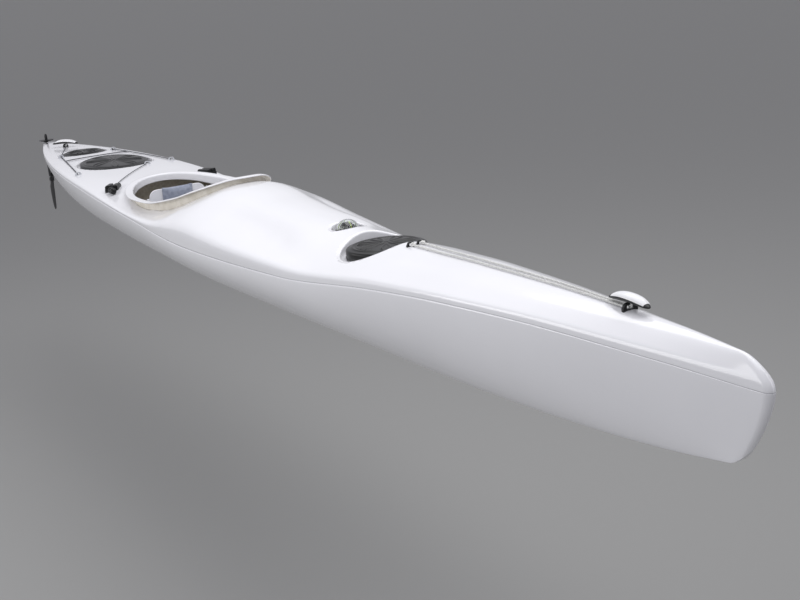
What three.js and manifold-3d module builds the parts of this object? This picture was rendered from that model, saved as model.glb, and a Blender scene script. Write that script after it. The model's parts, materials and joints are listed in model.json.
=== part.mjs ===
// Sea kayak: a fast composite touring boat with sealed hatches, a deck compass and an over-stern rudder.
// Millimetres. +X points to the bow, +Y to port and +Z up. The origin is on the keel's flat, amidships.
import * as THREE from 'three';
import { mergeVertices } from 'three/addons/utils/BufferGeometryUtils.js';
import Module from 'manifold-3d';

const wasm = await Module();
wasm.setup();

// Clearances that every piece shares
const gap = 0.3;
const overrun = 6;

// Hull and deck, the driving sizes
const halfLength = 2740;
const halfBeam = 265;
const fullestAt = -200;
const seamHeight = 179;
const seamRise = 89;
const deckRise = 177;
const peakHeight = seamHeight + deckRise;
const keelFlatHalfWidth = 24;
const keelFlatEnd = 1300;
const endFlatShare = 0.1;
const bowRocker = 86;
const sternRocker = 100;
const stemHalfWidth = 9;
const sternHalfWidth = 18;
const stemRound = 16;
const sternRound = 22;
const stemRakeBelow = 60;
const stemRakeAbove = 25;
const sternRake = THREE.MathUtils.degToRad(5);
const cornerRound = 46;
const deckCornerRound = 24;
const sternCornerRound = 6;
const wall = 3;
const bowPour = 190;
const sternPour = 150;

// How the boat narrows: hollow towards the bow, full towards the stern
const bowHollow = 1.5;
const sternFullness = 3;
const rockerPower = 2;
const leanPower = 12;
const stemPowerBelow = 1.5;
const stemPowerAbove = 2;
// How blunt the ends are, and how square the hull's half section is amidships, with its growth to the ends
const bluntShare = 0.03;
const squareness = 1.18;
const squarenessGrowth = 0.37;
const squarenessPower = 2.5;

// Lines along the boat: [share of the half length, share of the size that the line follows]
const seamShares = [[-1, 0.62], [-0.8, 0.62], [-0.5, 0.55], [-0.2, 0.27], [0.04, 0], [0.3, 0.15], [0.5, 0.68],
  [0.62, 0.9], [0.76, 1], [0.9, 0.93], [1, 0.79]];
const riseShares = [[-1, 0.055], [-0.8, 0.107], [-0.65, 0.142], [-0.5, 0.184], [-0.4, 0.23], [-0.27, 0.313],
  [-0.2, 0.361], [-0.15, 0.427], [-0.1, 0.531], [-0.06, 0.676], [-0.02, 0.834], [0.036, 0.96], [0.15, 0.845],
  [0.32, 0.66], [0.42, 0.53], [0.48, 0.462], [0.55, 0.402], [0.65, 0.358], [0.75, 0.336], [0.85, 0.328],
  [1, 0.345]];
// The deck's crease beside the paddler, and the edge of the plateau inside it, as shares of beam and rise
const creaseOutShares = [[-1, 0.9], [-0.6, 0.92], [-0.36, 0.88], [-0.26, 0.82], [-0.12, 0.8], [-0.02, 0.76],
  [0.06, 0.66], [0.17, 0.6], [0.25, 0.66], [0.32, 0.78], [0.4, 0.85], [0.5, 0.88], [0.7, 0.88], [1, 0.85]];
const creaseUpShares = [[-1, 0.66], [-0.6, 0.62], [-0.38, 0.5], [-0.3, 0.36], [-0.2, 0.26], [-0.12, 0.36],
  [-0.03, 0.6], [0.06, 0.7], [0.17, 0.64], [0.27, 0.53], [0.36, 0.4], [0.43, 0.38], [0.5, 0.4], [0.6, 0.4],
  [0.75, 0.42], [1, 0.5]];
const plateauOutShares = [[-1, 0.6], [-0.6, 0.62], [-0.38, 0.52], [-0.25, 0.42], [-0.1, 0.4], [0.05, 0.34],
  [0.2, 0.34], [0.3, 0.4], [0.42, 0.43], [0.6, 0.46], [0.8, 0.44], [1, 0.45]];
const plateauUpShares = [[-1, 0.93], [-0.6, 0.92], [-0.38, 0.86], [-0.25, 0.74], [-0.1, 0.78], [0.05, 0.93],
  [0.25, 0.9], [0.35, 0.8], [0.43, 0.77], [0.52, 0.82], [0.65, 0.84], [0.8, 0.84], [1, 0.9]];
const sideOutShare = 0.985;
const sideUpShare = 0.56;

// Resolution of the lofted shells
const longestStep = 260;
const stepGrowth = 1.6;
const leastStep = 13;
const endStationShares = [0, 0.12, 0.4];
const hullPoints = 7;
const deckPoints = 8;
const cordSides = 8;
const roundSides = 16;
const lineRuns = 8;

const white = { color: 0xe8e8ea, roughness: 0.22, metalness: 0 };
const laminate = { color: 0xb9b4a8, roughness: 0.6, metalness: 0 };
const rubber = { color: 0x17181a, roughness: 0.65, metalness: 0 };
const plastic = { color: 0x101113, roughness: 0.45, metalness: 0 };
const rope = { color: 0xe4e4e2, roughness: 0.85, metalness: 0 };
const steel = { color: 0xb4b6b8, roughness: 0.3, metalness: 1 };
const aluminium = { color: 0xa9abad, roughness: 0.4, metalness: 1 };
const foam = { color: 0x5b5f64, roughness: 0.9, metalness: 0 };
const lightPlastic = { color: 0xd2d2d4, roughness: 0.5, metalness: 0 };
const fabric = { color: 0x9aa3ae, roughness: 0.8, metalness: 0 };
const glass = { color: 0x2a2e30, roughness: 0.05, metalness: 0 };
const card = { color: 0x1c1d1f, roughness: 0.5, metalness: 0 };

const kayak = new THREE.Group();

function place(name, geometry, look, parent = kayak) {
  const mesh = new THREE.Mesh(geometry, new THREE.MeshStandardMaterial({ name, ...look }));
  mesh.name = name;
  parent.add(mesh);
  return mesh;
}

// A smooth line through [place, value] pairs, flat beyond its ends, that never overshoots a pair
function curve(table, at) {
  const last = table.length - 1;
  if (at <= table[0][0]) return table[0][1];
  if (at >= table[last][0]) return table[last][1];
  const rise = (i) => (table[i + 1][1] - table[i][1]) / (table[i + 1][0] - table[i][0]);
  const slope = (i) => {
    if (i === 0 || i === last) return rise(Math.min(i, last - 1));
    const [before, after] = [rise(i - 1), rise(i)];
    return before * after <= 0 ? 0 : (2 * before * after) / (before + after);
  };
  const i = table.findIndex((pair, k) => k < last && at < table[k + 1][0]);
  const width = table[i + 1][0] - table[i][0];
  const t = (at - table[i][0]) / width;
  const [t2, t3] = [t * t, t * t * t];
  return (2 * t3 - 3 * t2 + 1) * table[i][1] + (t3 - 2 * t2 + t) * width * slope(i)
    + (3 * t2 - 2 * t3) * table[i + 1][1] + (t3 - t2) * width * slope(i + 1);
}

// A closed body from rings of points: neighbouring rings are joined, and the ends are capped or joined too
function skin(rings, joined = false) {
  const count = rings[0].length;
  const points = rings.flat();
  const index = [];
  const steps = joined ? rings.length : rings.length - 1;
  for (let i = 0; i < steps; i += 1) {
    for (let j = 0; j < count; j += 1) {
      const [row, next, beside] = [i * count, ((i + 1) % rings.length) * count, (j + 1) % count];
      const [a, b, c, d] = [row + j, row + beside, next + j, next + beside];
      index.push(a, b, d, a, d, c);
    }
  }
  if (!joined) {
    [0, rings.length - 1].forEach((row) => {
      const centre = rings[row].reduce((sum, p) => sum.add(p), new THREE.Vector3()).divideScalar(count);
      points.push(centre);
      for (let j = 0; j < count; j += 1) {
        const [a, b] = [row * count + j, row * count + ((j + 1) % count)];
        index.push(...(row === 0 ? [points.length - 1, b, a] : [points.length - 1, a, b]));
      }
    });
  }
  const geometry = new THREE.BufferGeometry();
  const numbers = new Float32Array(points.flatMap((point) => point.toArray()));
  geometry.setAttribute('position', new THREE.BufferAttribute(numbers, 3));
  geometry.setIndex(index);
  return outward(geometry);
}

// The same body with its faces turned out, if they point in
function outward(geometry) {
  const [at, index] = [geometry.getAttribute('position'), geometry.index];
  const corner = (k) => new THREE.Vector3().fromBufferAttribute(at, index.getX(k));
  let volume = 0;
  for (let k = 0; k < index.count; k += 3) volume += corner(k).dot(corner(k + 1).cross(corner(k + 2)));
  if (volume < 0) geometry.setIndex([...index.array].reverse());
  return geometry;
}

function bare(geometry) {
  const copy = geometry.clone();
  copy.deleteAttribute('normal');
  copy.deleteAttribute('uv');
  return copy;
}

function toSolid(geometry) {
  const merged = mergeVertices(bare(geometry), gap / 100);
  return new wasm.Manifold(new wasm.Mesh({
    numProp: 3,
    vertProperties: new Float32Array(merged.getAttribute('position').array),
    triVerts: new Uint32Array(merged.index.array),
  }));
}

const box = ([x, y, z], [toX, toY, toZ]) => new THREE.BoxGeometry(toX - x, toY - y, toZ - z)
  .translate((x + toX) / 2, (y + toY) / 2, (z + toZ) / 2);
const upright = (radius, from, to, sides) => new THREE.CylinderGeometry(radius, radius, to - from, sides)
  .rotateX(Math.PI / 2).translate(0, 0, (from + to) / 2);
const lathe = (profile, sides) => outward(mergeVertices(bare(new THREE.LatheGeometry(
  profile.map(([out, along]) => new THREE.Vector2(out, along)), sides))));

// An outline in X and Z, or in Y and Z, drawn out to both sides of the middle
function slabXZ(outline, thick) {
  const shape = new THREE.Shape(outline.map(([x, z]) => new THREE.Vector2(x, z)));
  return new THREE.ExtrudeGeometry(shape, { depth: thick, bevelEnabled: false })
    .translate(0, 0, -thick / 2).rotateX(Math.PI / 2);
}
const slabYZ = (outline, thick) => slabXZ(outline, thick).rotateZ(Math.PI / 2);

// A round cord along a curve through points
function cord(points, radius, steps) {
  const path = new THREE.CatmullRomCurve3(points.map((point) => new THREE.Vector3(...point)));
  const section = Array.from({ length: cordSides }, (unused, k) => {
    const angle = (k / cordSides) * 2 * Math.PI;
    return new THREE.Vector2(radius * Math.cos(angle), radius * Math.sin(angle));
  });
  const settings = { extrudePath: path, steps, bevelEnabled: false };
  return new THREE.ExtrudeGeometry(new THREE.Shape(section), settings);
}

function toGeometry(solid) {
  const mesh = solid.getMesh();
  const geometry = new THREE.BufferGeometry();
  geometry.setAttribute('position', new THREE.BufferAttribute(new Float32Array(mesh.vertProperties), 3));
  geometry.setIndex([...mesh.triVerts]);
  return geometry;
}

// The lines at share u of the half length, drawn in by an inset: half beam, keel, seam, ridge and deck shape
function linesAt(u, inset = 0) {
  const x = u * halfLength;
  const forward = x > fullestAt;
  const reach = forward ? halfLength + stemRound - fullestAt : halfLength + sternRound + fullestAt;
  const along = Math.abs(x - fullestAt) / reach;
  const endHalf = forward ? stemHalfWidth : sternHalfWidth;
  const round = forward ? stemRound : sternRound;
  const intoEnd = Math.max(0, (Math.abs(x) - (halfLength - round)) / round);
  const rounding = Math.sqrt(Math.max(bluntShare, 1 - intoEnd ** 2));
  const narrowing = forward ? along ** 2 * (1 + bowHollow * (1 - along) ** 2) : along ** sternFullness;
  const beam = (endHalf + (halfBeam - endHalf) * (1 - narrowing)) * rounding;
  const overhang = Math.max(0, (Math.abs(x) - keelFlatEnd) / (halfLength - keelFlatEnd));
  const corner = (size) => {
    const into = Math.max(0, (Math.abs(x) - (halfLength - size)) / size);
    return size * (1 - Math.sqrt(1 - Math.min(1, into) ** 2));
  };
  const seam = seamHeight + seamRise * curve(seamShares, u);
  const ridge = seam + deckRise * curve(riseShares, u) - corner(forward ? deckCornerRound : sternCornerRound);
  return {
    u,
    beam: beam - inset,
    keel: (forward ? bowRocker : sternRocker) * overhang ** rockerPower + corner(cornerRound) + inset,
    seam,
    ridge: ridge - inset,
    flat: Math.min(keelFlatHalfWidth * Math.sqrt(Math.max(endFlatShare, 1 - overhang)), (beam - inset) / 2),
    fullness: squareness + squarenessGrowth * Math.abs(u) ** squarenessPower,
  };
}

// How far the boat's end leans back at a height: the raked stem, or the stern that slopes under the rudder
function lean(u, z) {
  const tip = linesAt(u > 0 ? 1 : -1);
  if (u < 0) return (linesAt(-1).ridge - z) * Math.tan(sternRake) * Math.abs(u) ** leanPower;
  const below = Math.max(0, (tip.seam - z) / (tip.seam - tip.keel));
  const above = Math.max(0, (z - tip.seam) / (tip.ridge - tip.seam));
  const rake = stemRakeBelow * below ** stemPowerBelow + stemRakeAbove * above ** stemPowerAbove;
  return -rake * u ** leanPower;
}

// A cubic through the points of a list, for the deck's half section
function through(points, t) {
  const spans = points.length - 1;
  const i = Math.min(spans - 1, Math.floor(t * spans));
  const s = t * spans - i;
  const at = (k) => points[THREE.MathUtils.clamp(k, 0, spans)];
  const blend = (a, b, c, d) => 0.5 * (2 * b + (c - a) * s + (2 * a - 5 * b + 4 * c - d) * s * s
    + (3 * b - a - 3 * c + d) * s * s * s);
  return [0, 1].map((k) => blend(at(i - 1)[k], at(i)[k], at(i + 1)[k], at(i + 2)[k]));
}

// Half section points [y, z], the hull's from keel to seam and the deck's from seam to ridge
function hullHalf(line) {
  const half = [[0, line.keel]];
  for (let k = 0; k <= hullPoints; k += 1) {
    const angle = (k / hullPoints) * (Math.PI / 2);
    half.push([line.flat + (line.beam - line.flat) * Math.sin(angle) ** line.fullness,
      line.seam - (line.seam - line.keel) * Math.cos(angle) ** line.fullness]);
  }
  return half;
}

function deckShape(line) {
  const rise = line.ridge - line.seam;
  const up = (share) => line.seam + rise * share;
  return [[line.beam, line.seam],
    [line.beam * sideOutShare, up(sideUpShare * curve(creaseUpShares, line.u))],
    [line.beam * curve(creaseOutShares, line.u), up(curve(creaseUpShares, line.u))],
    [line.beam * curve(plateauOutShares, line.u), up(curve(plateauUpShares, line.u))],
    [0, line.ridge]];
}

function deckHalf(line) {
  const shape = deckShape(line);
  return Array.from({ length: deckPoints + 1 }, (unused, k) => through(shape, k / deckPoints));
}

// A closed ring at share u: a half section mirrored to both sides, less its first or last point on the middle
function ring(u, half) {
  const at = ([y, z]) => new THREE.Vector3(u * halfLength + lean(u, z), y, z);
  const onMiddle = ([y], k) => (k === 0 || k === half.length - 1) && y < gap / 100;
  const starboard = half.filter((point, k) => !onMiddle(point, k)).map(([y, z]) => at([-y, z]));
  return [...half.map(at), ...starboard.reverse()];
}

// Places of the stations, close together at the ends, from a first to a last place along the boat
function stations(from, to) {
  const steps = [];
  [[1, stemRound], [-1, sternRound]].forEach(([side, round]) => {
    endStationShares.forEach((share) => steps.push(side * (halfLength - round * share)));
    let [inward, step] = [round, round];
    while (inward < halfLength) {
      steps.push(side * (halfLength - inward));
      step = Math.min(step * stepGrowth, longestStep);
      inward += step;
    }
  });
  const kept = steps.filter((x) => x > from + leastStep && x < to - leastStep);
  return [from, ...kept, to].sort((a, b) => a - b).map((x) => x / halfLength);
}

const allStations = stations(-halfLength, halfLength);
const moveEnd = (half, k, rise) => half.map(([y, z], i) => (i === k ? [y, z + rise] : [y, z]));
const hullOuter = toSolid(skin(allStations.map((u) => {
  return ring(u, moveEnd(hullHalf(linesAt(u)), hullPoints + 1, -gap / 2));
})));
const deckOuter = toSolid(skin(allStations.map((u) => ring(u, moveEnd(deckHalf(linesAt(u)), 0, gap / 2)))));

// The space inside the boat at an inset from its outside, between two places along it
function hold(inset, from, to) {
  const shape = (u) => {
    const line = linesAt(u, inset);
    return [...hullHalf(line), ...deckHalf(line).slice(1)];
  };
  return toSolid(skin(stations(from, to).map((u) => ring(u, shape(u)))));
}
const holdFrom = -halfLength + sternPour;
const holdTo = halfLength - bowPour;
const inside = hold(wall, holdFrom, holdTo);
const clearInside = hold(wall + gap, holdFrom + gap, holdTo - gap);
// The whole boat grown by the clearance, to fit what sits on its outside
const around = hold(-gap, -halfLength, halfLength);

// Height of the deck's outside at a place on it, on the flat facets between two stations
function deckHeight(x, y) {
  const u = x / halfLength;
  const next = Math.max(1, allStations.findIndex((station) => station >= u));
  const heightAt = (station) => {
    const half = deckHalf(linesAt(station));
    const k = THREE.MathUtils.clamp(half.filter(([out]) => out > Math.abs(y)).length, 1, half.length - 1);
    const share = (Math.abs(y) - half[k - 1][0]) / (half[k][0] - half[k - 1][0]);
    return THREE.MathUtils.lerp(half[k - 1][1], half[k][1], share);
  };
  const [before, after] = [allStations[next - 1], allStations[next]];
  return THREE.MathUtils.lerp(heightAt(before), heightAt(after), (u - before) / (after - before));
}

// An oval ring of points about a place, at a height
function oval(x, halfX, halfY, z, count) {
  return Array.from({ length: count }, (unused, k) => {
    const angle = (k / count) * 2 * Math.PI;
    return new THREE.Vector3(x + halfX * Math.cos(angle), halfY * Math.sin(angle), z);
  });
}

// An oval body whose profile is a list of [inset from its outline, height] points
function turned(x, halfX, halfY, profile, count, joined) {
  return skin(profile.map(([inset, z]) => oval(x, halfX - inset, halfY - inset, z, count)), joined);
}

// Hatches: a rubber cover over a rim, in a pan let into the deck
const coverWall = 5;
const rimWall = 3;
const rimInset = 17;
const rimFlange = 9;
const rimAbove = 13;
const rimBelow = 14;
const coverCrown = 6;
const coverRound = 5;
const coverLiningShare = 0.7;
// Shares of the shoulder's round: inwards and down. Shares of the half width inwards, and of the crown
const coverShoulderShares = [[0, 1], [0.4, 0.3], [1.4, 0]];
const coverCrownShares = [[0.4, 0.7], [0.85, 1]];
const foreHatchShare = 0.41;
const foreHatchHalf = 112;
const foreHatchDeep = 50;
const foreHatchHeight = 27;
const foreHatchMargin = 16;
const dayHatchShare = -0.5726;
const dayHatchHalfLength = 224;
const dayHatchHalfWidth = 136;
const dayHatchDeep = 23.2;
const dayHatchHeight = 24;
const dayHatchMargin = 14;
const sternHatchShare = -0.7562;
const sternHatchHalfLength = 98;
const sternHatchHalfWidth = 96;
const sternHatchDeep = 22.7;
const sternHatchHeight = 22;
const sternHatchMargin = 12;

const foreHatchSides = 24;
const dayHatchSides = 28;
const sternHatchSides = 22;

// A hatch at a share of the half length, its pan's floor a depth under the deck's ridge there
function hatchAt(name, share, [halfX, halfY], [deep, height, panMargin], count) {
  const floor = linesAt(share).ridge - deep;
  return { name, x: share * halfLength, halfX, halfY, floor, height, panMargin, sides: count };
}
const foreHatch = hatchAt('fore', foreHatchShare, [foreHatchHalf, foreHatchHalf],
  [foreHatchDeep, foreHatchHeight, foreHatchMargin], foreHatchSides);
const dayHatch = hatchAt('day', dayHatchShare, [dayHatchHalfLength, dayHatchHalfWidth],
  [dayHatchDeep, dayHatchHeight, dayHatchMargin], dayHatchSides);
const sternHatch = hatchAt('stern', sternHatchShare, [sternHatchHalfLength, sternHatchHalfWidth],
  [sternHatchDeep, sternHatchHeight, sternHatchMargin], sternHatchSides);
const hatches = [foreHatch, dayHatch, sternHatch];

function hatchPan(hatch, grow) {
  const outset = -hatch.panMargin - grow;
  const profile = [[outset, hatch.floor - grow], [outset, peakHeight + overrun]];
  return toSolid(turned(hatch.x, hatch.halfX, hatch.halfY, profile, hatch.sides));
}

function hatchHole(hatch) {
  const inset = rimInset - gap;
  const profile = [[inset, hatch.floor - rimBelow - overrun], [inset, hatch.floor + overrun]];
  return toSolid(turned(hatch.x, hatch.halfX, hatch.halfY, profile, hatch.sides));
}

// Cockpit coaming: an egg-shaped rim whose lip holds a spray cover, high at the front
const coamingBack = -945;
const coamingFront = 95;
const coamingHalfWidth = 218;
const coamingTaper = 0.2;
const lipWidth = 24;
const lipThick = 4.5;
const lipEdge = 1;
const lipHook = 0.9;
const riserWall = 5;
const riserBelow = 18;
const coamingSides = 48;
const coamingMiddle = (coamingBack + coamingFront) / 2;
const coamingHalfLength = (coamingFront - coamingBack) / 2;
// Height of the lip over the seam's lowest place, along the cockpit from its back to its front:
// [share of its length, share of the lip's rise]
const lipOverPeak = 18;
const lipRise = deckRise + lipOverPeak;
const lipShares = [[0, 0.492], [0.3, 0.382], [0.5, 0.405], [0.697, 0.568], [0.81, 0.735], [0.91, 0.889],
  [0.957, 0.962], [1, 1]];

function coamingOutline(angle, inset) {
  const x = coamingMiddle + (coamingHalfLength - inset) * Math.cos(angle);
  const y = (coamingHalfWidth - inset) * Math.sin(angle) * (1 - coamingTaper * Math.cos(angle));
  return [x, y];
}

const lipHeight = (x) => seamHeight
  + lipRise * curve(lipShares, (x - coamingBack) / (coamingFront - coamingBack));

function coamingRing(angle) {
  const inner = lipWidth + riserWall;
  const [riserX, riserY] = coamingOutline(angle, lipWidth);
  const foot = deckHeight(riserX, riserY) - riserBelow;
  const top = lipHeight(riserX);
  const section = [[inner, foot], [inner, top - lipThick / 2], [inner - riserWall / 2, top],
    [lipEdge, top - lipEdge], [0, top - lipThick / 2], [lipEdge, top - lipThick],
    [lipWidth, top - lipThick - lipHook], [lipWidth, foot]];
  return section.map(([inset, z]) => new THREE.Vector3(...coamingOutline(angle, inset), z));
}

const angles = (count) => Array.from({ length: count }, (unused, k) => (k / count) * 2 * Math.PI);
place('coaming', skin(angles(coamingSides).map(coamingRing), true), white);

function cockpitHole(inset, from, to) {
  const outline = (z) => angles(coamingSides).map((angle) => (
    new THREE.Vector3(...coamingOutline(angle, inset), z)));
  return toSolid(skin([outline(from), outline(to)]));
}

// Compass well, sunk in the foredeck
const compassShare = 0.3172;
const compassX = compassShare * halfLength;
const compassRadius = 33;
const compassFlange = 37;
const wellDeep = 23;
const wellFloor = linesAt(compassShare).ridge - wellDeep;
const wellMargin = 9;
const wellSides = 28;

function compassWell(grow) {
  const profile = [[-wellMargin - grow, wellFloor - grow], [-wellMargin - grow, peakHeight]];
  return toSolid(turned(compassX, compassFlange, compassFlange, profile, wellSides));
}

// Rudder line conduits: from the deck by the stern, through the end pour and along the hull to the pedals
const rudderBehind = 40;
const rudderAxisX = -halfLength - rudderBehind;
const pedalsX = 430;
const conduitRadius = 3;
const conduitFromWall = 16;
const conduitBelowSeam = 26;
const conduitMouth = 52;
// The conduit's first places: how far in front of its mouth, and how high over the deck
const conduitDip = [[0, 4.5], [30, 2.7], [56, -9]];
const conduitSteps = 20;
const conduitRuns = 9;
const mouthHalfWidth = 26;
const conduitMouthX = -halfLength + conduitMouth;

function conduitRoute(side) {
  const fromDeck = conduitDip.map(([ahead, up]) => [conduitMouthX + ahead, side * mouthHalfWidth,
    deckHeight(conduitMouthX + ahead, mouthHalfWidth) + up]);
  const from = holdFrom + conduitRadius * 4;
  const inHold = Array.from({ length: conduitRuns }, (unused, k) => {
    const x = THREE.MathUtils.lerp(from, pedalsX, k / (conduitRuns - 1));
    const line = linesAt(x / halfLength);
    return [x, side * (line.beam - conduitFromWall), line.seam - conduitBelowSeam];
  });
  return [...fromDeck, ...inHold];
}

const sides = [['port', 1], ['starboard', -1]];
sides.forEach(([name, side]) => {
  place(`rudder_conduit_${name}`, cord(conduitRoute(side), conduitRadius, conduitSteps), plastic);
});
const conduitHoles = sides.map(([, side]) => (
  toSolid(cord(conduitRoute(side), conduitRadius + gap, conduitSteps))));
const drilled = (solid) => conduitHoles.reduce((rest, hole) => rest.subtract(hole), solid);

// The hull: the outside less the hold
place('hull', toGeometry(drilled(hullOuter.subtract(inside))), white);

// The deck: pans and wells go down into the hold, keeping the wall under them
let deckHold = inside;
let deckSolid = deckOuter;
hatches.forEach((hatch) => {
  const cup = hatchPan(hatch, wall);
  deckHold = deckHold.subtract(cup);
  deckSolid = deckSolid.add(cup.intersect(clearInside)).subtract(hatchPan(hatch, 0));
});
deckHold = deckHold.subtract(compassWell(wall));
deckSolid = deckSolid.subtract(compassWell(0)).subtract(deckHold);
hatches.forEach((hatch) => {
  deckSolid = deckSolid.subtract(hatchHole(hatch));
});
deckSolid = deckSolid.subtract(cockpitHole(lipWidth - gap, seamHeight, peakHeight + overrun));
place('deck', toGeometry(drilled(deckSolid)), white);

// Hatch rims and covers
hatches.forEach((hatch) => {
  const seat = hatch.floor + gap;
  const rimInner = rimInset + rimWall;
  const rim = [[rimInner, hatch.floor - rimBelow], [rimInset, hatch.floor - rimBelow], [rimInset, seat],
    [rimFlange, seat], [rimFlange, seat + rimWall], [rimInset, seat + rimWall], [rimInset, seat + rimAbove],
    [rimInner, seat + rimAbove]];
  const outline = [hatch.x, hatch.halfX, hatch.halfY];
  place(`${hatch.name}_hatch_rim`, turned(...outline, rim, hatch.sides, true), plastic);

  const top = seat + hatch.height;
  const lining = [[hatch.halfY * coverLiningShare, top - coverWall], [coverWall, top - coverWall]];
  const shoulder = coverShoulderShares.map(([inwards, down]) => (
    [coverRound * inwards, top - coverRound * down]));
  const crown = coverCrownShares.map(([inwards, up]) => [hatch.halfY * inwards, top + coverCrown * up]);
  const cover = [...lining, [coverWall, seat + gap], [0, seat + gap], ...shoulder, ...crown];
  place(`${hatch.name}_hatch_cover`, turned(...outline, cover, hatch.sides), rubber);
});

// Bulkheads that part the holds from the cockpit, with holes for the rudder line's conduits
const bulkheadThick = 5;
const bulkheadFromRail = 85;
const bulkheadFromCoaming = 65;
const sternBulkheadShare = -0.686;
const railBack = 215;
const railFront = 645;
const bulkheads = [{ name: 'fore', x: railFront + bulkheadFromRail },
  { name: 'cockpit', x: coamingBack - bulkheadFromCoaming },
  { name: 'stern', x: sternBulkheadShare * halfLength }];
const wells = [compassWell(wall + gap), ...hatches.map((hatch) => hatchPan(hatch, wall + gap))];
bulkheads.forEach(({ name, x }) => {
  const half = bulkheadThick / 2;
  const slab = toSolid(box([x - half, -halfBeam, 0], [x + half, halfBeam, peakHeight]));
  const plate = wells.reduce((rest, well) => rest.subtract(well), drilled(slab.intersect(clearInside)));
  place(`${name}_bulkhead`, toGeometry(plate), laminate);
});

// Moulded bucket seat on a foam cradle, with a padded cushion
const seatBack = -800;
const seatFront = -410;
const seatHalfWidth = 172;
const seatLow = 45;
const seatRise = 164;
const seatThick = 4;
const seatRings = 8;
const seatPoints = 12;
const seatFloorShares = [[0, 0.55], [0.2, 0.14], [0.45, 0], [0.75, 0.08], [1, 0.24]];
const seatSideShares = [[0, 1.05], [0.3, 1], [0.6, 0.72], [1, 0.5]];
const seatWidthShares = [[0, 0.84], [0.3, 1], [0.7, 1], [1, 0.93]];
const seatSquareShare = 0.75;

// A point of the seat: shares of its length from the back and across from -1 to 1, inset from its outside
function seatPoint(along, across, inset) {
  const angle = (across * Math.PI) / 2;
  const side = seatLow + seatRise * curve(seatSideShares, along);
  const floor = seatLow + seatRise * curve(seatFloorShares, along) + inset;
  const half = seatHalfWidth * curve(seatWidthShares, along) - inset;
  const out = half * Math.abs(Math.sin(angle)) ** seatSquareShare;
  const down = (side - floor) * Math.cos(angle) ** seatSquareShare;
  const x = THREE.MathUtils.lerp(seatBack, seatFront, along);
  return new THREE.Vector3(x, Math.sign(across) * out, side - down);
}

const shares = (count, from, to) => Array.from({ length: count + 1 }, (unused, k) => (
  THREE.MathUtils.lerp(from, to, k / count)));
// A filled bowl through the seat's points at an inset, its lid raised and its ends moved out by an overrun
function seatBowl(inset, beyond) {
  const ends = beyond / (seatFront - seatBack);
  return toSolid(skin(shares(seatRings, 0, 1).map((share) => {
    const along = share === 0 ? -ends : share === 1 ? 1 + ends : share;
    const points = shares(seatPoints, -1, 1).map((across) => seatPoint(along, across, inset));
    const raised = (point) => point.clone().add(new THREE.Vector3(0, 0, beyond));
    const lid = [raised(points[seatPoints]), raised(points[0])];
    return beyond > 0 ? [...points, ...lid] : points;
  })));
}
// The back rest: a plate that stands across the bowl behind the paddler, with a pad on its front
const restX = -726;
const restThick = 6;
const restHalfWidth = 110;
const restTop = 246;
const restPlate = toSolid(box([restX, -restHalfWidth, 0], [restX + restThick, restHalfWidth, restTop]))
  .intersect(seatBowl(seatThick / 2, restTop - seatLow - seatRise + overrun));
place('seat', toGeometry(seatBowl(0, 0).subtract(seatBowl(seatThick, overrun)).add(restPlate)), white);

const cradleBack = -710;
const cradleFront = -500;
const cradleHalfWidth = 120;
const cradleTop = 100;
const cradleBlock = box([cradleBack, -cradleHalfWidth, 0], [cradleFront, cradleHalfWidth, cradleTop]);
const cradle = toSolid(cradleBlock).intersect(clearInside).subtract(seatBowl(0, 0).translate([0, 0, -gap]));
place('seat_cradle', toGeometry(cradle), foam);

// Pads on the seat: one on its floor, one on each side by the paddler's hips, and one on the back rest
const padThick = 17;
const padEdgeShare = 0.3;
const padEdgePower = 6;
const padRings = 6;
const padPoints = 5;
const seatPadShares = { back: 0.215, front: 0.8, near: -0.48, far: 0.48 };
const hipPadShares = { back: 0.2, front: 0.72, near: 0.56, far: 0.9 };

// A crowned pad over a field of the seat, its underside on the seat and its edges drawn in
function seatCushion({ back, front, near, far }, side) {
  const rings = shares(padRings, -1, 1).map((lengthwise) => {
    const along = THREE.MathUtils.mapLinear(lengthwise, -1, 1, back, front);
    const padPoint = (share, inset) => (
      seatPoint(along, side * THREE.MathUtils.mapLinear(share, -1, 1, near, far), inset));
    const crown = (share) => seatThick + padThick * (padEdgeShare + (1 - padEdgeShare)
      * Math.sqrt((1 - lengthwise ** padEdgePower) * (1 - share ** padEdgePower)));
    const bottom = shares(padPoints, -1, 1).map((share) => padPoint(share, 0));
    const top = shares(padPoints, 1, -1).map((share) => padPoint(share, crown(share)));
    return [...bottom, ...top];
  });
  return toGeometry(toSolid(skin(rings)).intersect(seatBowl(seatThick + gap, overrun)));
}
place('seat_pad', seatCushion(seatPadShares, 1), fabric);
sides.forEach(([name, side]) => place(`hip_pad_${name}`, seatCushion(hipPadShares, side), fabric));
const backPad = { halfWidth: 62, low: 138, high: 252, thick: 18 };
const backPadRings = shares(padRings, -1, 1).map((upwards) => {
  const z = THREE.MathUtils.mapLinear(upwards, -1, 1, backPad.low, backPad.high);
  const front = (share) => restX + restThick + gap + backPad.thick * (padEdgeShare + (1 - padEdgeShare)
    * Math.sqrt((1 - upwards ** padEdgePower) * (1 - share ** padEdgePower)));
  const behind = shares(padPoints, -1, 1).map((share) => (
    new THREE.Vector3(restX + restThick + gap, share * backPad.halfWidth, z)));
  const before = shares(padPoints, 1, -1).map((share) => (
    new THREE.Vector3(front(share), share * backPad.halfWidth, z)));
  return [...behind, ...before];
});
place('back_pad', skin(backPadRings), fabric);

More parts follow.
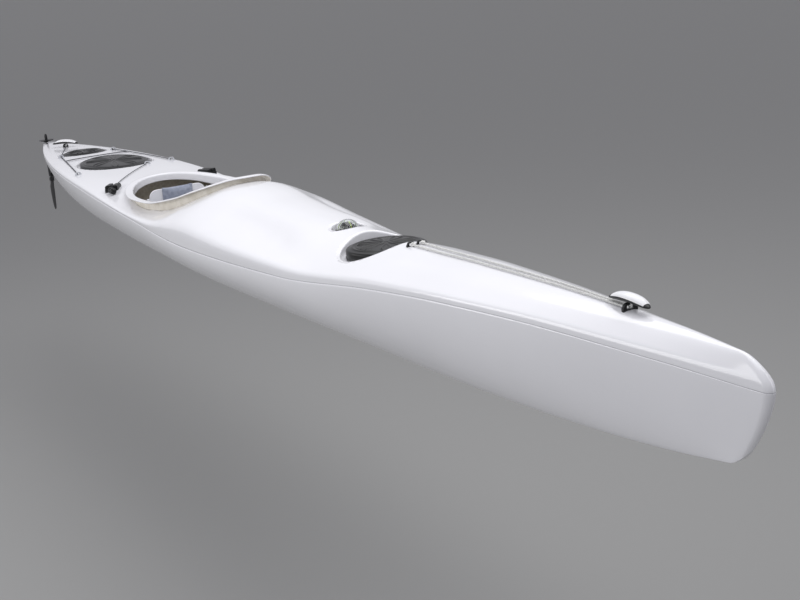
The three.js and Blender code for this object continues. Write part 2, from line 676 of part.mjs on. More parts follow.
// Deck compass: a bowl with a centre post in the well, a card that turns on the post, and a clear dome
const bowlWall = 4;
const bowlRim = 12;
const cardRadius = 24;
const cardThick = 2;
const cardClear = 1.5;
const postRadius = 3;
const domeWall = 2;
const domeHeight = 26;
const domeSteps = 4;
const bowlFloor = wellFloor + gap;
const bowlTop = bowlFloor + bowlRim;
const bowlInner = cardRadius + cardClear * 2;
const cardBottom = bowlTop - cardThick;
const compass = new THREE.Group();
compass.position.set(compassX, 0, 0);
kayak.add(compass);
const onEnd = (geometry) => geometry.rotateX(Math.PI / 2);
const bowlProfile = [[0, bowlFloor], [compassFlange, bowlFloor], [compassFlange, bowlTop - bowlWall],
  [compassRadius, bowlTop], [bowlInner, bowlTop], [bowlInner, bowlFloor + bowlWall],
  [postRadius, bowlFloor + bowlWall], [postRadius / 2, cardBottom - gap], [0, cardBottom - gap]];
place('compass_housing', onEnd(lathe(bowlProfile, roundSides)), plastic, compass);
place('compass_card', upright(cardRadius, cardBottom, cardBottom + cardThick, roundSides), card, compass);
const domeArc = (radius, height) => shares(domeSteps, 0, 1).map((share) => {
  const angle = (share * Math.PI) / 2;
  return [radius * Math.cos(angle), bowlTop + gap + height * Math.sin(angle)];
});
const domeInside = domeArc(compassRadius - domeWall * 2, domeHeight - domeWall).reverse();
const domeOutside = domeArc(compassRadius - domeWall / 2, domeHeight);
place('compass_dome', onEnd(lathe([...domeInside, ...domeOutside], roundSides)), glass, compass);
// Deck eyes: small moulded arches that hug the deck, with a slot for a cord
const bigEye = { width: 36, height: 15, thick: 8, slotHalf: 9, bar: 5, foot: 2, sink: 8 };
const smallEye = { width: 26, height: 13, thick: 7, slotHalf: 6, bar: 3.5, foot: 2, sink: 6 };
const eyeOutlineShares = [[-0.5, 0.3], [-0.34, 0.85], [-0.2, 1], [0.2, 1], [0.34, 0.85], [0.5, 0.3]];

function deckEye(size, x, y, turn) {
  const [half, top] = [size.slotHalf, size.height - size.bar];
  const outer = slabYZ([[-size.width / 2, -size.sink], ...eyeOutlineShares.map(([out, up]) => (
    [out * size.width, up * size.height])), [size.width / 2, -size.sink]], size.thick);
  const slotOutline = [[-half, size.foot], [half, size.foot], [half, top], [-half, top]];
  const slot = slabYZ(slotOutline, size.thick + overrun);
  return toSolid(outer).subtract(toSolid(slot)).rotate([0, 0, turn])
    .translate([x, y, deckHeight(x, y)]).subtract(around);
}
const together = (solids) => toGeometry(solids.reduce((all, one) => all.add(one)));

// Carrying toggles at bow and stern: an arched grip with a glossy cap, on a cord loop through a deck eye
const gripHalf = 72;
const gripHalfWidth = 15;
const gripHalfHeight = 8;
const gripDroop = 9;
const gripAbove = 24;
const gripEndShare = 0.99;
const gripTaperShare = 0.35;
const gripRoundPower = 6;
const gripRings = 10;
const gripPoints = 12;
const capThick = 3;
const capSkirt = 2.5;
const capClear = 0.9;
const capFadePower = 4;
const capRings = 8;
const capPoints = 6;
const capFromShare = -0.72;
const capToShare = 0.86;
const capSpreadShare = 0.8;
const loopRadius = 2.5;
const loopClear = 1.2;
const socketClear = 0.6;
const loopHalf = bigEye.thick / 2 + loopRadius + loopClear;
const socketRadius = loopHalf + loopRadius + socketClear;
const socketRoof = 3;
const loopArcs = 6;
const gripMiddle = (share) => gripAbove - gripDroop * share ** 2;
const gripSize = (share) => Math.sqrt(1 - share ** gripRoundPower) * (1 - gripTaperShare * share ** 2);
const gripPoint = (share, angle, grow) => new THREE.Vector3(share * gripHalf,
  (gripHalfWidth * gripSize(share) + grow) * Math.cos(angle),
  gripMiddle(share) + (gripHalfHeight * gripSize(share) + grow) * Math.sin(angle));

function toggle(name, x, turn) {
  const group = new THREE.Group();
  group.position.set(x, 0, deckHeight(x, 0));
  group.rotation.z = turn;
  kayak.add(group);
  const gripBody = (grow) => toSolid(skin(shares(gripRings, -gripEndShare, gripEndShare).map((share) => (
    angles(gripPoints).map((angle) => gripPoint(share, angle, grow))))));
  const roof = gripAbove + gripHalfHeight - socketRoof;
  const socket = toSolid(upright(socketRadius, 0, roof, roundSides));
  place(`${name}_toggle_grip`, toGeometry(gripBody(0).subtract(socket)), plastic, group);
  const cap = toSolid(skin(shares(capRings, capFromShare, capToShare).map((share) => {
    const middle = (capFromShare + capToShare) / 2;
    const fade = 1 - ((share - middle) / (capToShare - middle)) ** capFadePower;
    const spread = shares(capPoints, 1 - capSpreadShare, 1 + capSpreadShare)
      .map((part) => (part * Math.PI) / 2);
    const under = spread.map((angle) => gripPoint(share, angle, -capSkirt));
    const over = spread.map((angle) => gripPoint(share, angle, capClear + capThick * fade * Math.sin(angle)));
    return [...under, ...over.reverse()];
  })));
  place(`${name}_toggle_cap`, toGeometry(cap.subtract(gripBody(gap))), white, group);
  const [low, high] = [bigEye.foot + loopRadius + socketClear, roof - loopRadius - gap];
  const bend = (middle, from) => shares(loopArcs, 0, 1).map((share) => {
    const angle = from + share * Math.PI;
    return [loopHalf * Math.cos(angle), middle + loopHalf * Math.sin(angle)];
  });
  const path = [...bend(high - loopHalf, 0), ...bend(low + loopHalf, Math.PI)];
  place(`${name}_toggle_loop`, skin(path.map(([along, up], k) => {
    const centreUp = k <= loopArcs ? high - loopHalf : low + loopHalf;
    const away = new THREE.Vector3(along, 0, up - centreUp).normalize();
    return angles(cordSides).map((angle) => new THREE.Vector3(along, loopRadius * Math.sin(angle), up)
      .addScaledVector(away, loopRadius * Math.cos(angle)));
  }), true), rope, group);
  place(`${name}_deck_eye`, toGeometry(deckEye(bigEye, x, 0, THREE.MathUtils.radToDeg(turn))), plastic);
}
const bowToggleShare = 0.8358;
const sternToggleShare = -0.8741;
const bowToggleX = bowToggleShare * halfLength;
const sternToggleX = sternToggleShare * halfLength;
const sternToggleTurn = THREE.MathUtils.degToRad(40);
toggle('bow', bowToggleX, 0);
toggle('stern', sternToggleX, sternToggleTurn);

// Deck lines: a braid on each side of the foredeck's ridge, from knots beside the hatch to the bow eye
const lineRadius = 3;
const lineClear = 1.2;
const foreLineShare = 0.478;
const foreLineX = foreLineShare * halfLength;
const foreLineHalf = 14.5;
const foreLineEnd = bowToggleX - bigEye.thick - loopHalf;
const foreLineEndHalf = lineRadius + lineClear;
const lineSteps = 14;
const knotRadius = 8;
const knotSides = 10;
const knotRows = 7;
const onDeck = (x, y, up) => [x, y, deckHeight(x, y) + up];
const stripCorners = [[-0.5, 0], [0.5, 0], [0.5, 1], [-0.5, 1]];
function stripRing(y) {
  return stripCorners.map(([along, up]) => {
    const height = THREE.MathUtils.lerp(-smallEye.sink, smallEye.foot, up);
    const [x, , z] = onDeck(foreLineX, y, height);
    return new THREE.Vector3(x + along * smallEye.thick, y, z);
  });
}
const stripRings = shares(lineRuns, -foreLineHalf, foreLineHalf).map(stripRing);
const strip = toSolid(skin(stripRings));
const foreEyes = sides.map(([, side]) => deckEye(smallEye, foreLineX, side * foreLineHalf, 0));
place('fore_line_fitting', together([strip.subtract(around), ...foreEyes]), plastic);
const knotX = foreLineX + smallEye.thick / 2 + knotRadius + gap;
sides.forEach(([name, side]) => {
  const knot = toSolid(new THREE.SphereGeometry(knotRadius, knotSides, knotRows))
    .translate(onDeck(knotX, side * foreLineHalf, lineRadius + lineClear)).subtract(around);
  const route = shares(lineRuns, 0, 1).map((share) => onDeck(THREE.MathUtils.lerp(knotX, foreLineEnd, share),
    side * THREE.MathUtils.lerp(foreLineHalf, foreLineEndHalf, share), lineRadius + lineClear));
  const line = toSolid(cord(route, lineRadius, lineSteps));
  place(`fore_deck_line_${name}`, together([line, knot]), rope);
});

// Cleats behind the cockpit: a base that hugs the deck, and two jaws with a tapered slot for a thin line
const cleatFromBack = 27;
const cleatX = coamingBack + cleatFromBack;
const cleatOutShare = 0.717;
const cleatY = cleatOutShare * halfBeam;
const cleatTurn = THREE.MathUtils.degToRad(32);
const cleatHalfLength = 29;
const cleatHalfWidth = 25;
const cleatTop = 7;
const cleatSink = 22;
const jawHeight = 14;
const jawHalfLength = 26;
const jawRound = 5;
const slotBottomHalf = 2.2;
const slotTopHalf = 5;
const slotEndHalf = 9;
const thinRadius = 1.5;
const thinClear = 2.4;
const thinSteps = 20;
const thinFromShare = 0.2;
function cleat(side) {
  const base = toSolid(box([-cleatHalfLength, -cleatHalfWidth, -cleatSink],
    [cleatHalfLength, cleatHalfWidth, 0]));
  const jawSection = [[-cleatHalfWidth + gap, -gap], [-cleatHalfWidth + gap, jawHeight - jawRound],
    [-cleatHalfWidth + jawRound, jawHeight], [cleatHalfWidth - jawRound, jawHeight],
    [cleatHalfWidth - gap, jawHeight - jawRound], [cleatHalfWidth - gap, -gap]];
  const jaws = toSolid(slabYZ(jawSection, jawHalfLength * 2));
  const slotRing = (along, half) => [[along, -half, jawHeight + overrun], [along, -slotBottomHalf, 0],
    [along, slotBottomHalf, 0], [along, half, jawHeight + overrun]]
    .map((point) => new THREE.Vector3(...point));
  const slot = toSolid(skin([slotRing(-cleatHalfLength - overrun, slotEndHalf), slotRing(0, slotTopHalf),
    slotRing(cleatHalfLength + overrun, slotEndHalf)]));
  return base.add(jaws.subtract(slot)).rotate([0, 0, side * THREE.MathUtils.radToDeg(cleatTurn)])
    .translate(onDeck(cleatX, side * cleatY, cleatTop)).subtract(around);
}
sides.forEach(([name, side]) => place(`cleat_${name}`, toGeometry(cleat(side)), plastic));

// The thin line through the starboard cleat: from its bow-tie toggle to a small eye behind the cockpit
const lineEyeRoom = 15;
const lineEyeX = dayHatch.x + dayHatch.halfX + lineEyeRoom;
const lineEyeY = 75;
const beadRadius = 12;
const beadLength = 26;
const beadWaist = 5;
const beadRoom = 12;
const beadSides = 14;
// The bow tie's half profile: [share of its radius, share of its half length], with the waist between
const beadEndShares = [[0.55, 1], [1, 0.7], [1, 0.35]];
const lineHeading = new THREE.Vector2(-Math.cos(cleatTurn), Math.sin(cleatTurn));
const beadFromCleat = cleatHalfLength + beadRoom;
const beadY = -cleatY - lineHeading.y * beadFromCleat;
const beadX = cleatX - lineHeading.x * beadFromCleat + beadLength;
const beadEnd = (side) => beadEndShares.map(([out, along]) => [beadRadius * out, side * beadLength * along]);
const beadProfile = [[0, -beadLength], ...beadEnd(-1), [beadWaist, 0], ...beadEnd(1).reverse(),
  [0, beadLength]];
const bead = lathe(beadProfile, beadSides).rotateZ(Math.PI / 2);
const beadUp = beadRadius + lineClear;
const beads = place('line_toggle', bead, rubber);
beads.position.set(...onDeck(beadX, beadY, beadUp));
const lineFromCleat = (along, up) => [cleatX + lineHeading.x * along, -cleatY + lineHeading.y * along,
  deckHeight(cleatX, cleatY) + up];
const overCleat = cleatTop + thinRadius + thinClear;
const overSlot = [-cleatHalfLength, 0, cleatHalfLength].map((along) => lineFromCleat(along, overCleat));
const toEye = shares(lineRuns, thinFromShare, 1).map((share) => (
  onDeck(THREE.MathUtils.lerp(cleatX, lineEyeX + smallEye.thick, share),
    THREE.MathUtils.lerp(-cleatY, lineEyeY - smallEye.thick, share), thinRadius + lineClear)));
const fromBead = onDeck(beadX - beadLength - thinRadius, beadY, beadUp);
place('cleat_line', cord([fromBead, ...overSlot, ...toEye], thinRadius, thinSteps), rope);

// Aft deck cords: one each side between two eyes, and one across between the hatches
const aftEyeShares = [[-0.511, 0.755], [-0.73, 0.453]];
const aftEyes = aftEyeShares.map(([along, out]) => [along * halfLength, out * halfBeam]);
const crossRoom = 33;
const crossX = dayHatch.x - dayHatch.halfX - dayHatch.panMargin - crossRoom;
const aftCordRadius = 2;
const alongAft = (share) => THREE.MathUtils.lerp(aftEyes[0][1], aftEyes[1][1], share);
const eyeRoom = smallEye.thick / 2 + aftCordRadius;
const eyeNames = ['front', 'back'];
sides.forEach(([name, side]) => aftEyes.forEach(([x, y], k) => {
  place(`aft_eye_${name}_${eyeNames[k]}`, toGeometry(deckEye(smallEye, x, side * y, 0)), lightPlastic);
}));
place('cleat_line_eye', toGeometry(deckEye(smallEye, lineEyeX, lineEyeY, 0)), lightPlastic);
sides.forEach(([name, side]) => {
  const route = shares(lineRuns, 0, 1).map((share) => onDeck(THREE.MathUtils.lerp(aftEyes[0][0] - eyeRoom,
    aftEyes[1][0] + eyeRoom, share), side * alongAft(share), aftCordRadius + lineClear));
  place(`aft_deck_cord_${name}`, cord(route, aftCordRadius, lineSteps), rope);
});
const crossShare = (crossX - aftEyes[0][0]) / (aftEyes[1][0] - aftEyes[0][0]);
const crossHalf = alongAft(crossShare) - aftCordRadius - lineClear;
place('aft_cross_cord', cord(shares(lineRuns, -1, 1).map((share) => (
  onDeck(crossX, crossHalf * share, aftCordRadius + lineClear))), aftCordRadius, lineSteps), rope);

// Rudder: a bracket on the stern with two lugs, a pin through them, a stock, a quadrant and a lifting blade
const pinRadius = 4;
const pinKnob = 7;
const pinTop = 281;
const lugRadius = 10;
const lugThick = 12;
const lugLow = 134;
const lugHigh = 204;
const lugReach = 24;
const webRear = 14;
const stockHalf = 9;
const spineFront = 14;
const spineBack = 26;
const quadrantRadius = 36;
const quadrantThick = 4;
const quadrantBottom = 248;
const grooveDeep = 1.5;
const stockBottom = 46;
const armDeep = 24;
const bladePivotZ = 66;
const bladePivotBack = 10;
const headRadius = 20;
const bladeSlotAbove = 37;
const headTurn = THREE.MathUtils.degToRad(135);
const headSides = 10;
const bladeThick = 8;
const bladeEdge = 2.5;
const bladeBelow = 168;
const bladeFront = 24;
const bladeBack = 62;
const boltRadius = 4;
const boltHead = 7;
const boltHeadThick = 3;
const rudder = new THREE.Group();
rudder.position.set(rudderAxisX, 0, 0);
kayak.add(rudder);
const sternSide = -rudderAxisX - halfLength;
const lug = (low, radius) => toSolid(upright(radius, low, low + lugThick, roundSides));
const lugArm = (low) => toSolid(box([0, -lugRadius, low], [sternSide + lugReach, lugRadius, low + lugThick]));
const web = toSolid(box([sternSide - webRear, -lugRadius, lugLow],
  [sternSide + lugReach, lugRadius, lugHigh + lugThick]));
const pinHole = toSolid(upright(pinRadius + gap, lugLow - overrun, lugHigh + lugThick + overrun, roundSides));
const bracket = [lugLow, lugHigh].reduce((solid, low) => solid.add(lug(low, lugRadius)).add(lugArm(low)), web)
  .subtract(pinHole).subtract(around.translate([-rudderAxisX - gap, 0, 0]));
place('rudder_bracket', toGeometry(bracket), plastic, rudder);

const upperFoot = lugHigh + lugThick + gap;
const upperTop = quadrantBottom - gap;
const lowerTop = lugLow - gap;
const pinFoot = lowerTop - armDeep;
const sleeves = toSolid(upright(stockHalf, upperFoot, upperTop, roundSides))
  .add(toSolid(upright(stockHalf, stockBottom, lowerTop, roundSides)));
const arms = [[upperFoot, upperTop], [stockBottom, lowerTop]].map(([low, high]) => (
  toSolid(box([-spineBack, -stockHalf, low], [0, stockHalf, high]))));
const spine = toSolid(box([-spineBack, -stockHalf, stockBottom], [-spineFront, stockHalf, upperTop]));
const bladeSlot = toSolid(box([-spineBack - overrun, -bladeThick / 2 - gap, stockBottom - overrun],
  [stockHalf + overrun, bladeThick / 2 + gap, bladePivotZ + bladeSlotAbove]));
const bore = toSolid(upright(pinRadius + gap, pinFoot - gap, upperTop + overrun, roundSides));
const acrossHole = (radius) => toSolid(new THREE.CylinderGeometry(radius, radius, spineBack * 2, roundSides))
  .translate([-bladePivotBack, 0, bladePivotZ]);
const stock = arms.reduce((solid, arm) => solid.add(arm), sleeves.add(spine))
  .subtract(bladeSlot).subtract(bore).subtract(acrossHole(boltRadius + gap));
place('rudder_stock', toGeometry(stock), plastic, rudder);
const knobFoot = quadrantBottom + quadrantThick + gap;
const pinProfile = [[0, pinFoot], [pinRadius, pinFoot], [pinRadius, knobFoot], [pinKnob, knobFoot],
  [pinKnob, pinTop - pinKnob * 2], [pinRadius, pinTop], [0, pinTop]];
place('rudder_pin', onEnd(lathe(pinProfile, roundSides)), plastic, rudder);
const quadrantTop = quadrantBottom + quadrantThick;
place('rudder_quadrant', onEnd(lathe([[pinRadius + gap, quadrantBottom], [quadrantRadius, quadrantBottom],
  [quadrantRadius - grooveDeep, quadrantBottom + quadrantThick / 2], [quadrantRadius, quadrantTop],
  [pinRadius + gap, quadrantTop], [pinRadius + gap, quadrantBottom]], roundSides)), plastic, rudder);

// The blade's outline below its round head: [share of its reach back or forward, share of its depth]
const bladeOutlineShares = [[-0.6, 0.18], [-1, 0.36], [-0.94, 0.66], [-0.7, 0.93], [-0.45, 1], [0, 1],
  [0.24, 0.93], [1, 0.5], [1, 0.2]];
const bladeShape = new THREE.Shape();
bladeShape.absarc(0, 0, headRadius, 0, headTurn, false);
bladeOutlineShares.forEach(([along, down]) => {
  bladeShape.lineTo(along * (along < 0 ? bladeBack : bladeFront), -down * bladeBelow);
});
const bladeSettings = { depth: bladeThick - bladeEdge * 2, bevelSize: bladeEdge, bevelThickness: bladeEdge,
  bevelOffset: -bladeEdge, bevelSegments: 1, curveSegments: headSides };
const bladeBody = new THREE.ExtrudeGeometry(bladeShape, bladeSettings)
  .translate(0, 0, bladeEdge - bladeThick / 2).rotateX(Math.PI / 2)
  .translate(-bladePivotBack, 0, bladePivotZ);
place('rudder_blade', toGeometry(toSolid(bladeBody).subtract(acrossHole(boltRadius + gap))), plastic, rudder);
const boltEnd = stockHalf + gap;
const boltProfile = [[0, -boltEnd - boltHeadThick], [boltHead, -boltEnd - boltHeadThick],
  [boltHead, -boltEnd], [boltRadius, -boltEnd], [boltRadius, boltEnd], [boltHead, boltEnd],
  [boltHead, boltEnd + boltHeadThick], [0, boltEnd + boltHeadThick]];
const bolt = place('rudder_pivot_bolt', lathe(boltProfile, roundSides), steel, rudder);
bolt.position.set(-bladePivotBack, 0, bladePivotZ);

// The lines from the quadrant's sides to the conduits' mouths
const wireRadius = 1;
const wireOut = quadrantRadius + wireRadius + gap;
const wireZ = quadrantBottom + quadrantThick / 2;
sides.forEach(([name, side]) => {
  const [mouthX, mouthY, mouthZ] = conduitRoute(side)[0];
  const wireEnds = [[rudderAxisX, side * wireOut, wireZ], [mouthX - gap * 2, mouthY, mouthZ]];
  place(`rudder_line_${name}`, cord(wireEnds, wireRadius, 2), steel);
});

// Footrest: two rails on the hull's sides, a bar that slides along them, and two pedals that steer
const railOutShare = 0.687;
const railHalfY = railOutShare * halfBeam;
const railThick = 8;
const railLow = 112;
const railHigh = 138;
const standoffLong = 26;
const standoffIn = 40;
const barThick = 16;
const shoeLong = 44;
const shoeWall = 5;
const pedalY = 78;
const pedalHalfWidth = 38;
const pedalHeight = 112;
const pedalThick = 6;
const pedalLift = 13;
const barrelRadius = 8;
const pedalPinRadius = 3;
const earWide = 10;
sides.forEach(([name, side]) => {
  const across = (near, far) => [Math.min(side * near, side * far), Math.max(side * near, side * far)];
  const [y0, y1] = across(railHalfY, railHalfY + railThick);
  const [s0, s1] = across(railHalfY + railThick / 2, halfBeam);
  const rail = toSolid(box([railBack, y0, railLow], [railFront, y1, railHigh]));
  const standoffs = [railBack + standoffIn, railFront - standoffIn].map((x) => (
    toSolid(box([x - standoffLong / 2, s0, railLow], [x + standoffLong / 2, s1, railHigh]))));
  place(`footrest_rail_${name}`, toGeometry(standoffs.reduce((all, one) => all.add(one), rail)
    .intersect(clearInside)), aluminium);
});
const barTop = railHigh;
const pivotZ = barTop + pedalLift;
const crossbar = toSolid(box([-barThick / 2, -railHalfY + gap, railLow],
  [barThick / 2, railHalfY - gap, barTop]));
const shoes = sides.map(([, side]) => (
  toSolid(box([-shoeLong / 2, railHalfY - shoeWall, railLow - shoeWall - gap],
    [shoeLong / 2, railHalfY + railThick / 2, railHigh + shoeWall + gap])).scale([1, side, 1])));
const railRuns = sides.map(([, side]) => toSolid(box([-shoeLong, railHalfY - gap, railLow - gap],
  [shoeLong, railHalfY + railThick + overrun, railHigh + gap])).scale([1, side, 1]));
const earInner = pedalHalfWidth + gap;
const ears = sides.flatMap(([, side]) => [-1, 1].map((edge) => {
  const middle = side * pedalY + edge * (earInner + earWide / 2);
  return toSolid(box([-barThick / 2, middle - earWide / 2, barTop - overrun],
    [barThick / 2, middle + earWide / 2, pivotZ + barrelRadius]));
}));
const alongY = (radius, y, half) => toSolid(new THREE.CylinderGeometry(radius, radius, half * 2, roundSides))
  .translate([0, y, pivotZ]);
const pinBores = sides.map(([, side]) => (
  alongY(pedalPinRadius + gap, side * pedalY, pedalHalfWidth + earWide * 2)));
const footplate = new THREE.Group();
footplate.position.set(pedalsX, 0, 0);
kayak.add(footplate);
const bar = [...shoes, ...ears].reduce((all, one) => all.add(one), crossbar);
place('footrest_bar', toGeometry([...railRuns, ...pinBores].reduce((rest, cut) => rest.subtract(cut), bar)),
  aluminium, footplate);
sides.forEach(([name, side]) => {
  const plate = toSolid(box([-pedalThick / 2, side * pedalY - pedalHalfWidth, pivotZ],
    [pedalThick / 2, side * pedalY + pedalHalfWidth, pivotZ + pedalHeight]));
  const pedal = plate.add(alongY(barrelRadius, side * pedalY, pedalHalfWidth));
  const bored = pinBores.reduce((rest, cut) => rest.subtract(cut), pedal);
  place(`pedal_${name}`, toGeometry(bored), plastic, footplate);
});
const pinHalf = pedalY + pedalHalfWidth + earWide + gap;
place('pedal_pin', toGeometry(alongY(pedalPinRadius, 0, pinHalf)), steel, footplate);

export default kayak;
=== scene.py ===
# A fast composite sea kayak, from its shells to its rudder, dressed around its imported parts.
# Metres. +X points to the bow, +Y to port and +Z up, and the origin is on the keel's flat, amidships.
import json
import math

import bmesh
import bpy
import numpy as np
from mathutils import Matrix, Vector
from mathutils.bvhtree import BVHTree

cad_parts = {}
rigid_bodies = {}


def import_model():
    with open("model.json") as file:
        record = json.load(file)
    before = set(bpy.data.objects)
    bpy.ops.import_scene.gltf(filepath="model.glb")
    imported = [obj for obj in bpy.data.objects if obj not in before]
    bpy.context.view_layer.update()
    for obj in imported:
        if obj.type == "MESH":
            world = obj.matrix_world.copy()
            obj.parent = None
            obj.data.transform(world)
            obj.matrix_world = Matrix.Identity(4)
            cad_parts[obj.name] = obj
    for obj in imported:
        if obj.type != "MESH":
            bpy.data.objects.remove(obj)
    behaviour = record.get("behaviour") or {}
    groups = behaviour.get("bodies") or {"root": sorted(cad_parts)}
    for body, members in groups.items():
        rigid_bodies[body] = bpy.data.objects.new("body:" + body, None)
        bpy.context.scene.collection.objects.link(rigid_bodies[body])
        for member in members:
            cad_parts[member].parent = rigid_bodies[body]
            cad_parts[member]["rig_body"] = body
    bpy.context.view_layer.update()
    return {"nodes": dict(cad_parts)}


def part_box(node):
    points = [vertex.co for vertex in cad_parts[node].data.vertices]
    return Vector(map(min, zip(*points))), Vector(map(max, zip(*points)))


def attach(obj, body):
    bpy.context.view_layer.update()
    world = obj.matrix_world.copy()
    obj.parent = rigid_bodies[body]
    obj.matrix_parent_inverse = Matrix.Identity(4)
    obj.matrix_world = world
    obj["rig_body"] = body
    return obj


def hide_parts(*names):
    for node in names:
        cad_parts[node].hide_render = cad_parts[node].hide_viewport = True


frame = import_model()

# The viewpoint: off the starboard bow, a little above the deck, through a long lens.
# The lens comes from a focal length in pixels of the 800 pixel wide photograph.
photo_width = 800
focal_pixels = 1555
camera_place = Vector((4.893, -1.715, 1.154))
camera_yaw, camera_pitch, camera_roll = (math.radians(turn) for turn in (155.24, 13.87, -5.89))


def add_object(name, data):
    """An object of some data, linked to the scene."""
    placed = bpy.data.objects.new(name, data)
    bpy.context.scene.collection.objects.link(placed)
    return placed


camera = add_object("camera", bpy.data.cameras.new("camera"))
bpy.context.scene.camera = camera
camera.data.sensor_width = 36
camera.data.lens = camera.data.sensor_width * focal_pixels / photo_width
camera.data.clip_end = 200
ahead = Vector((math.cos(camera_pitch) * math.cos(camera_yaw), math.cos(camera_pitch) * math.sin(camera_yaw),
                -math.sin(camera_pitch)))
level = Vector((math.sin(camera_yaw), -math.cos(camera_yaw), 0))
upward = level.cross(ahead)
sideways = level * math.cos(camera_roll) + upward * math.sin(camera_roll)
upright = upward * math.cos(camera_roll) - level * math.sin(camera_roll)
camera.matrix_world = Matrix.Translation(camera_place) @ Matrix((sideways, upright, -ahead)).transposed().to_4x4()
bpy.context.scene.view_settings.view_transform = "Standard"


# The studio: one wide grey floor well below the boat, a pale sky all round and soft boxes above.
# The boxes lie along the boat, so their reflections run along its creases.
def linear(colour):
    """An sRGB hex colour as linear RGBA: c / 12.92 up to 0.04045, and ((c + 0.055) / 1.055) ** 2.4 above."""
    parts = np.array([int(colour[k:k + 2], 16) for k in (1, 3, 5)]) / 255
    low, high = parts / 12.92, ((parts + 0.055) / 1.055) ** 2.4
    return (*np.where(parts <= 0.04045, low, high), 1.0)


def add_node(tree, kind, settings=None, links=None):
    """One node of a kind, with its sockets and properties set and its inputs linked to other nodes' outputs."""
    node = tree.nodes.new(kind)
    for name, value in (settings or {}).items():
        if isinstance(name, int) or name in node.inputs:
            node.inputs[name].default_value = value
        else:
            setattr(node, name, value)
    for name, output in (links or {}).items():
        tree.links.new(output, node.inputs[name])
    return node


def new_finish(name, colour, roughness, mottle=None, grain=None, **sockets):
    """A material with one Principled shader, its sockets given by name. Its mottle (dark, pale, size) is two close
    colours over noise patches, and its grain (size, depth) is a bump of noise lumps, with sizes in metres."""
    material = bpy.data.materials.new(name)
    material.use_nodes = True
    tree = material.node_tree
    shader = tree.nodes["Principled BSDF"]
    shader.inputs["Base Color"].default_value = linear(colour)
    shader.inputs["Roughness"].default_value = roughness
    for socket, value in sockets.items():
        shader.inputs[socket.replace("_", " ")].default_value = value
    place = add_node(tree, "ShaderNodeTexCoord").outputs["Object"]
    if mottle:
        dark, pale, size = mottle
        noise = add_node(tree, "ShaderNodeTexNoise", {"Scale": 1 / size, "Detail": 4.0}, {"Vector": place})
        ramp = add_node(tree, "ShaderNodeValToRGB", links={"Fac": noise.outputs["Fac"]})
        for stop, share, shade in zip(ramp.color_ramp.elements, (0.35, 0.65), (dark, pale)):
            stop.position, stop.color = share, linear(shade)
        tree.links.new(ramp.outputs["Color"], shader.inputs["Base Color"])
    if grain:
        size, depth = grain
        noise = add_node(tree, "ShaderNodeTexNoise", {"Scale": 1 / size}, {"Vector": place})
        bump = add_node(tree, "ShaderNodeBump", {"Distance": depth}, {"Height": noise.outputs["Fac"]})
        tree.links.new(bump.outputs["Normal"], shader.inputs["Normal"])
    return material


floor_level = -0.75
floor_reach = 70
floor_mesh = bpy.data.meshes.new("studio_floor")
floor_corners = [(-floor_reach, -floor_reach), (floor_reach, -floor_reach), (floor_reach, floor_reach),
                 (-floor_reach, floor_reach)]
floor_mesh.from_pydata([(x, y, floor_level) for x, y in floor_corners], [], [(0, 1, 2, 3)])
floor = add_object("studio_floor", floor_mesh)
floor_mesh.materials.append(new_finish("matt studio floor paint", "#8C8C8B", 0.9))
sky_strength = 0.68
world = bpy.data.worlds.new("studio")
bpy.context.scene.world = world
world.use_nodes = True
sky = world.node_tree.nodes["Background"]
sky.inputs["Color"].default_value = linear("#F3F3F9")
sky.inputs["Strength"].default_value = sky_strength


def add_softbox(name, place, aim, width, height, radiance):
    """A rectangular lamp aimed at a point: its power is radiance times pi times its area."""
    lamp = bpy.data.lights.new(name, "AREA")
    lamp.shape = "RECTANGLE"
    lamp.size, lamp.size_y = width, height
    lamp.energy = radiance * math.pi * width * height
    softbox = add_object(name, lamp)
    softbox.location = place
    softbox.rotation_euler = (Vector(aim) - Vector(place)).to_track_quat("-Z", "Y").to_euler()


add_softbox("overhead_box", (0.5, 0.6, 3.2), (0.3, 0, 0.2), 5.5, 2.6, 1.7)
add_softbox("starboard_box", (-0.6, -4.2, 1.1), (0.3, 0, 0.15), 5.4, 2.0, 2.5)
add_softbox("strip_box", (1.5, 1.6, 2.6), (0.8, 0, 0.25), 3.0, 0.18, 9.0)

# Gelcoat shells: the hull is laid up in a mould to just under the seam, with a flowcoat inside.
# Its lines run from a nearly plumb stem to a stern that slopes under the rudder.
half_length = 2.740
half_beam = 0.265
fullest_at = -0.200
seam_height = 0.179
seam_rise = 0.089
deck_rise = 0.177
keel_flat_half_width = 0.024
keel_flat_end = 1.300
end_flat_share = 0.1
bow_rocker, stern_rocker = 0.086, 0.100
stem_half_width, stern_half_width = 0.009, 0.018
stem_round, stern_round = 0.016, 0.022
stem_rake_below, stem_rake_above = 0.060, 0.025
stern_rake = math.radians(5)
keel_corner, deck_corner, stern_corner = 0.046, 0.024, 0.006
bow_hollow, stern_fullness, rocker_power = 1.5, 3, 2
lean_power, stem_power_below, stem_power_above = 12, 1.5, 2
squareness, squareness_growth, squareness_power = 1.18, 0.37, 2.5
shell_wall = 0.003
shell_wall_share = 0.45
seam_half_gap = 0.0004
seam_shares = [[-1, 0.62], [-0.8, 0.62], [-0.5, 0.55], [-0.2, 0.27], [0.04, 0], [0.3, 0.15], [0.5, 0.68],
               [0.62, 0.9], [0.76, 1], [0.9, 0.93], [1, 0.79]]
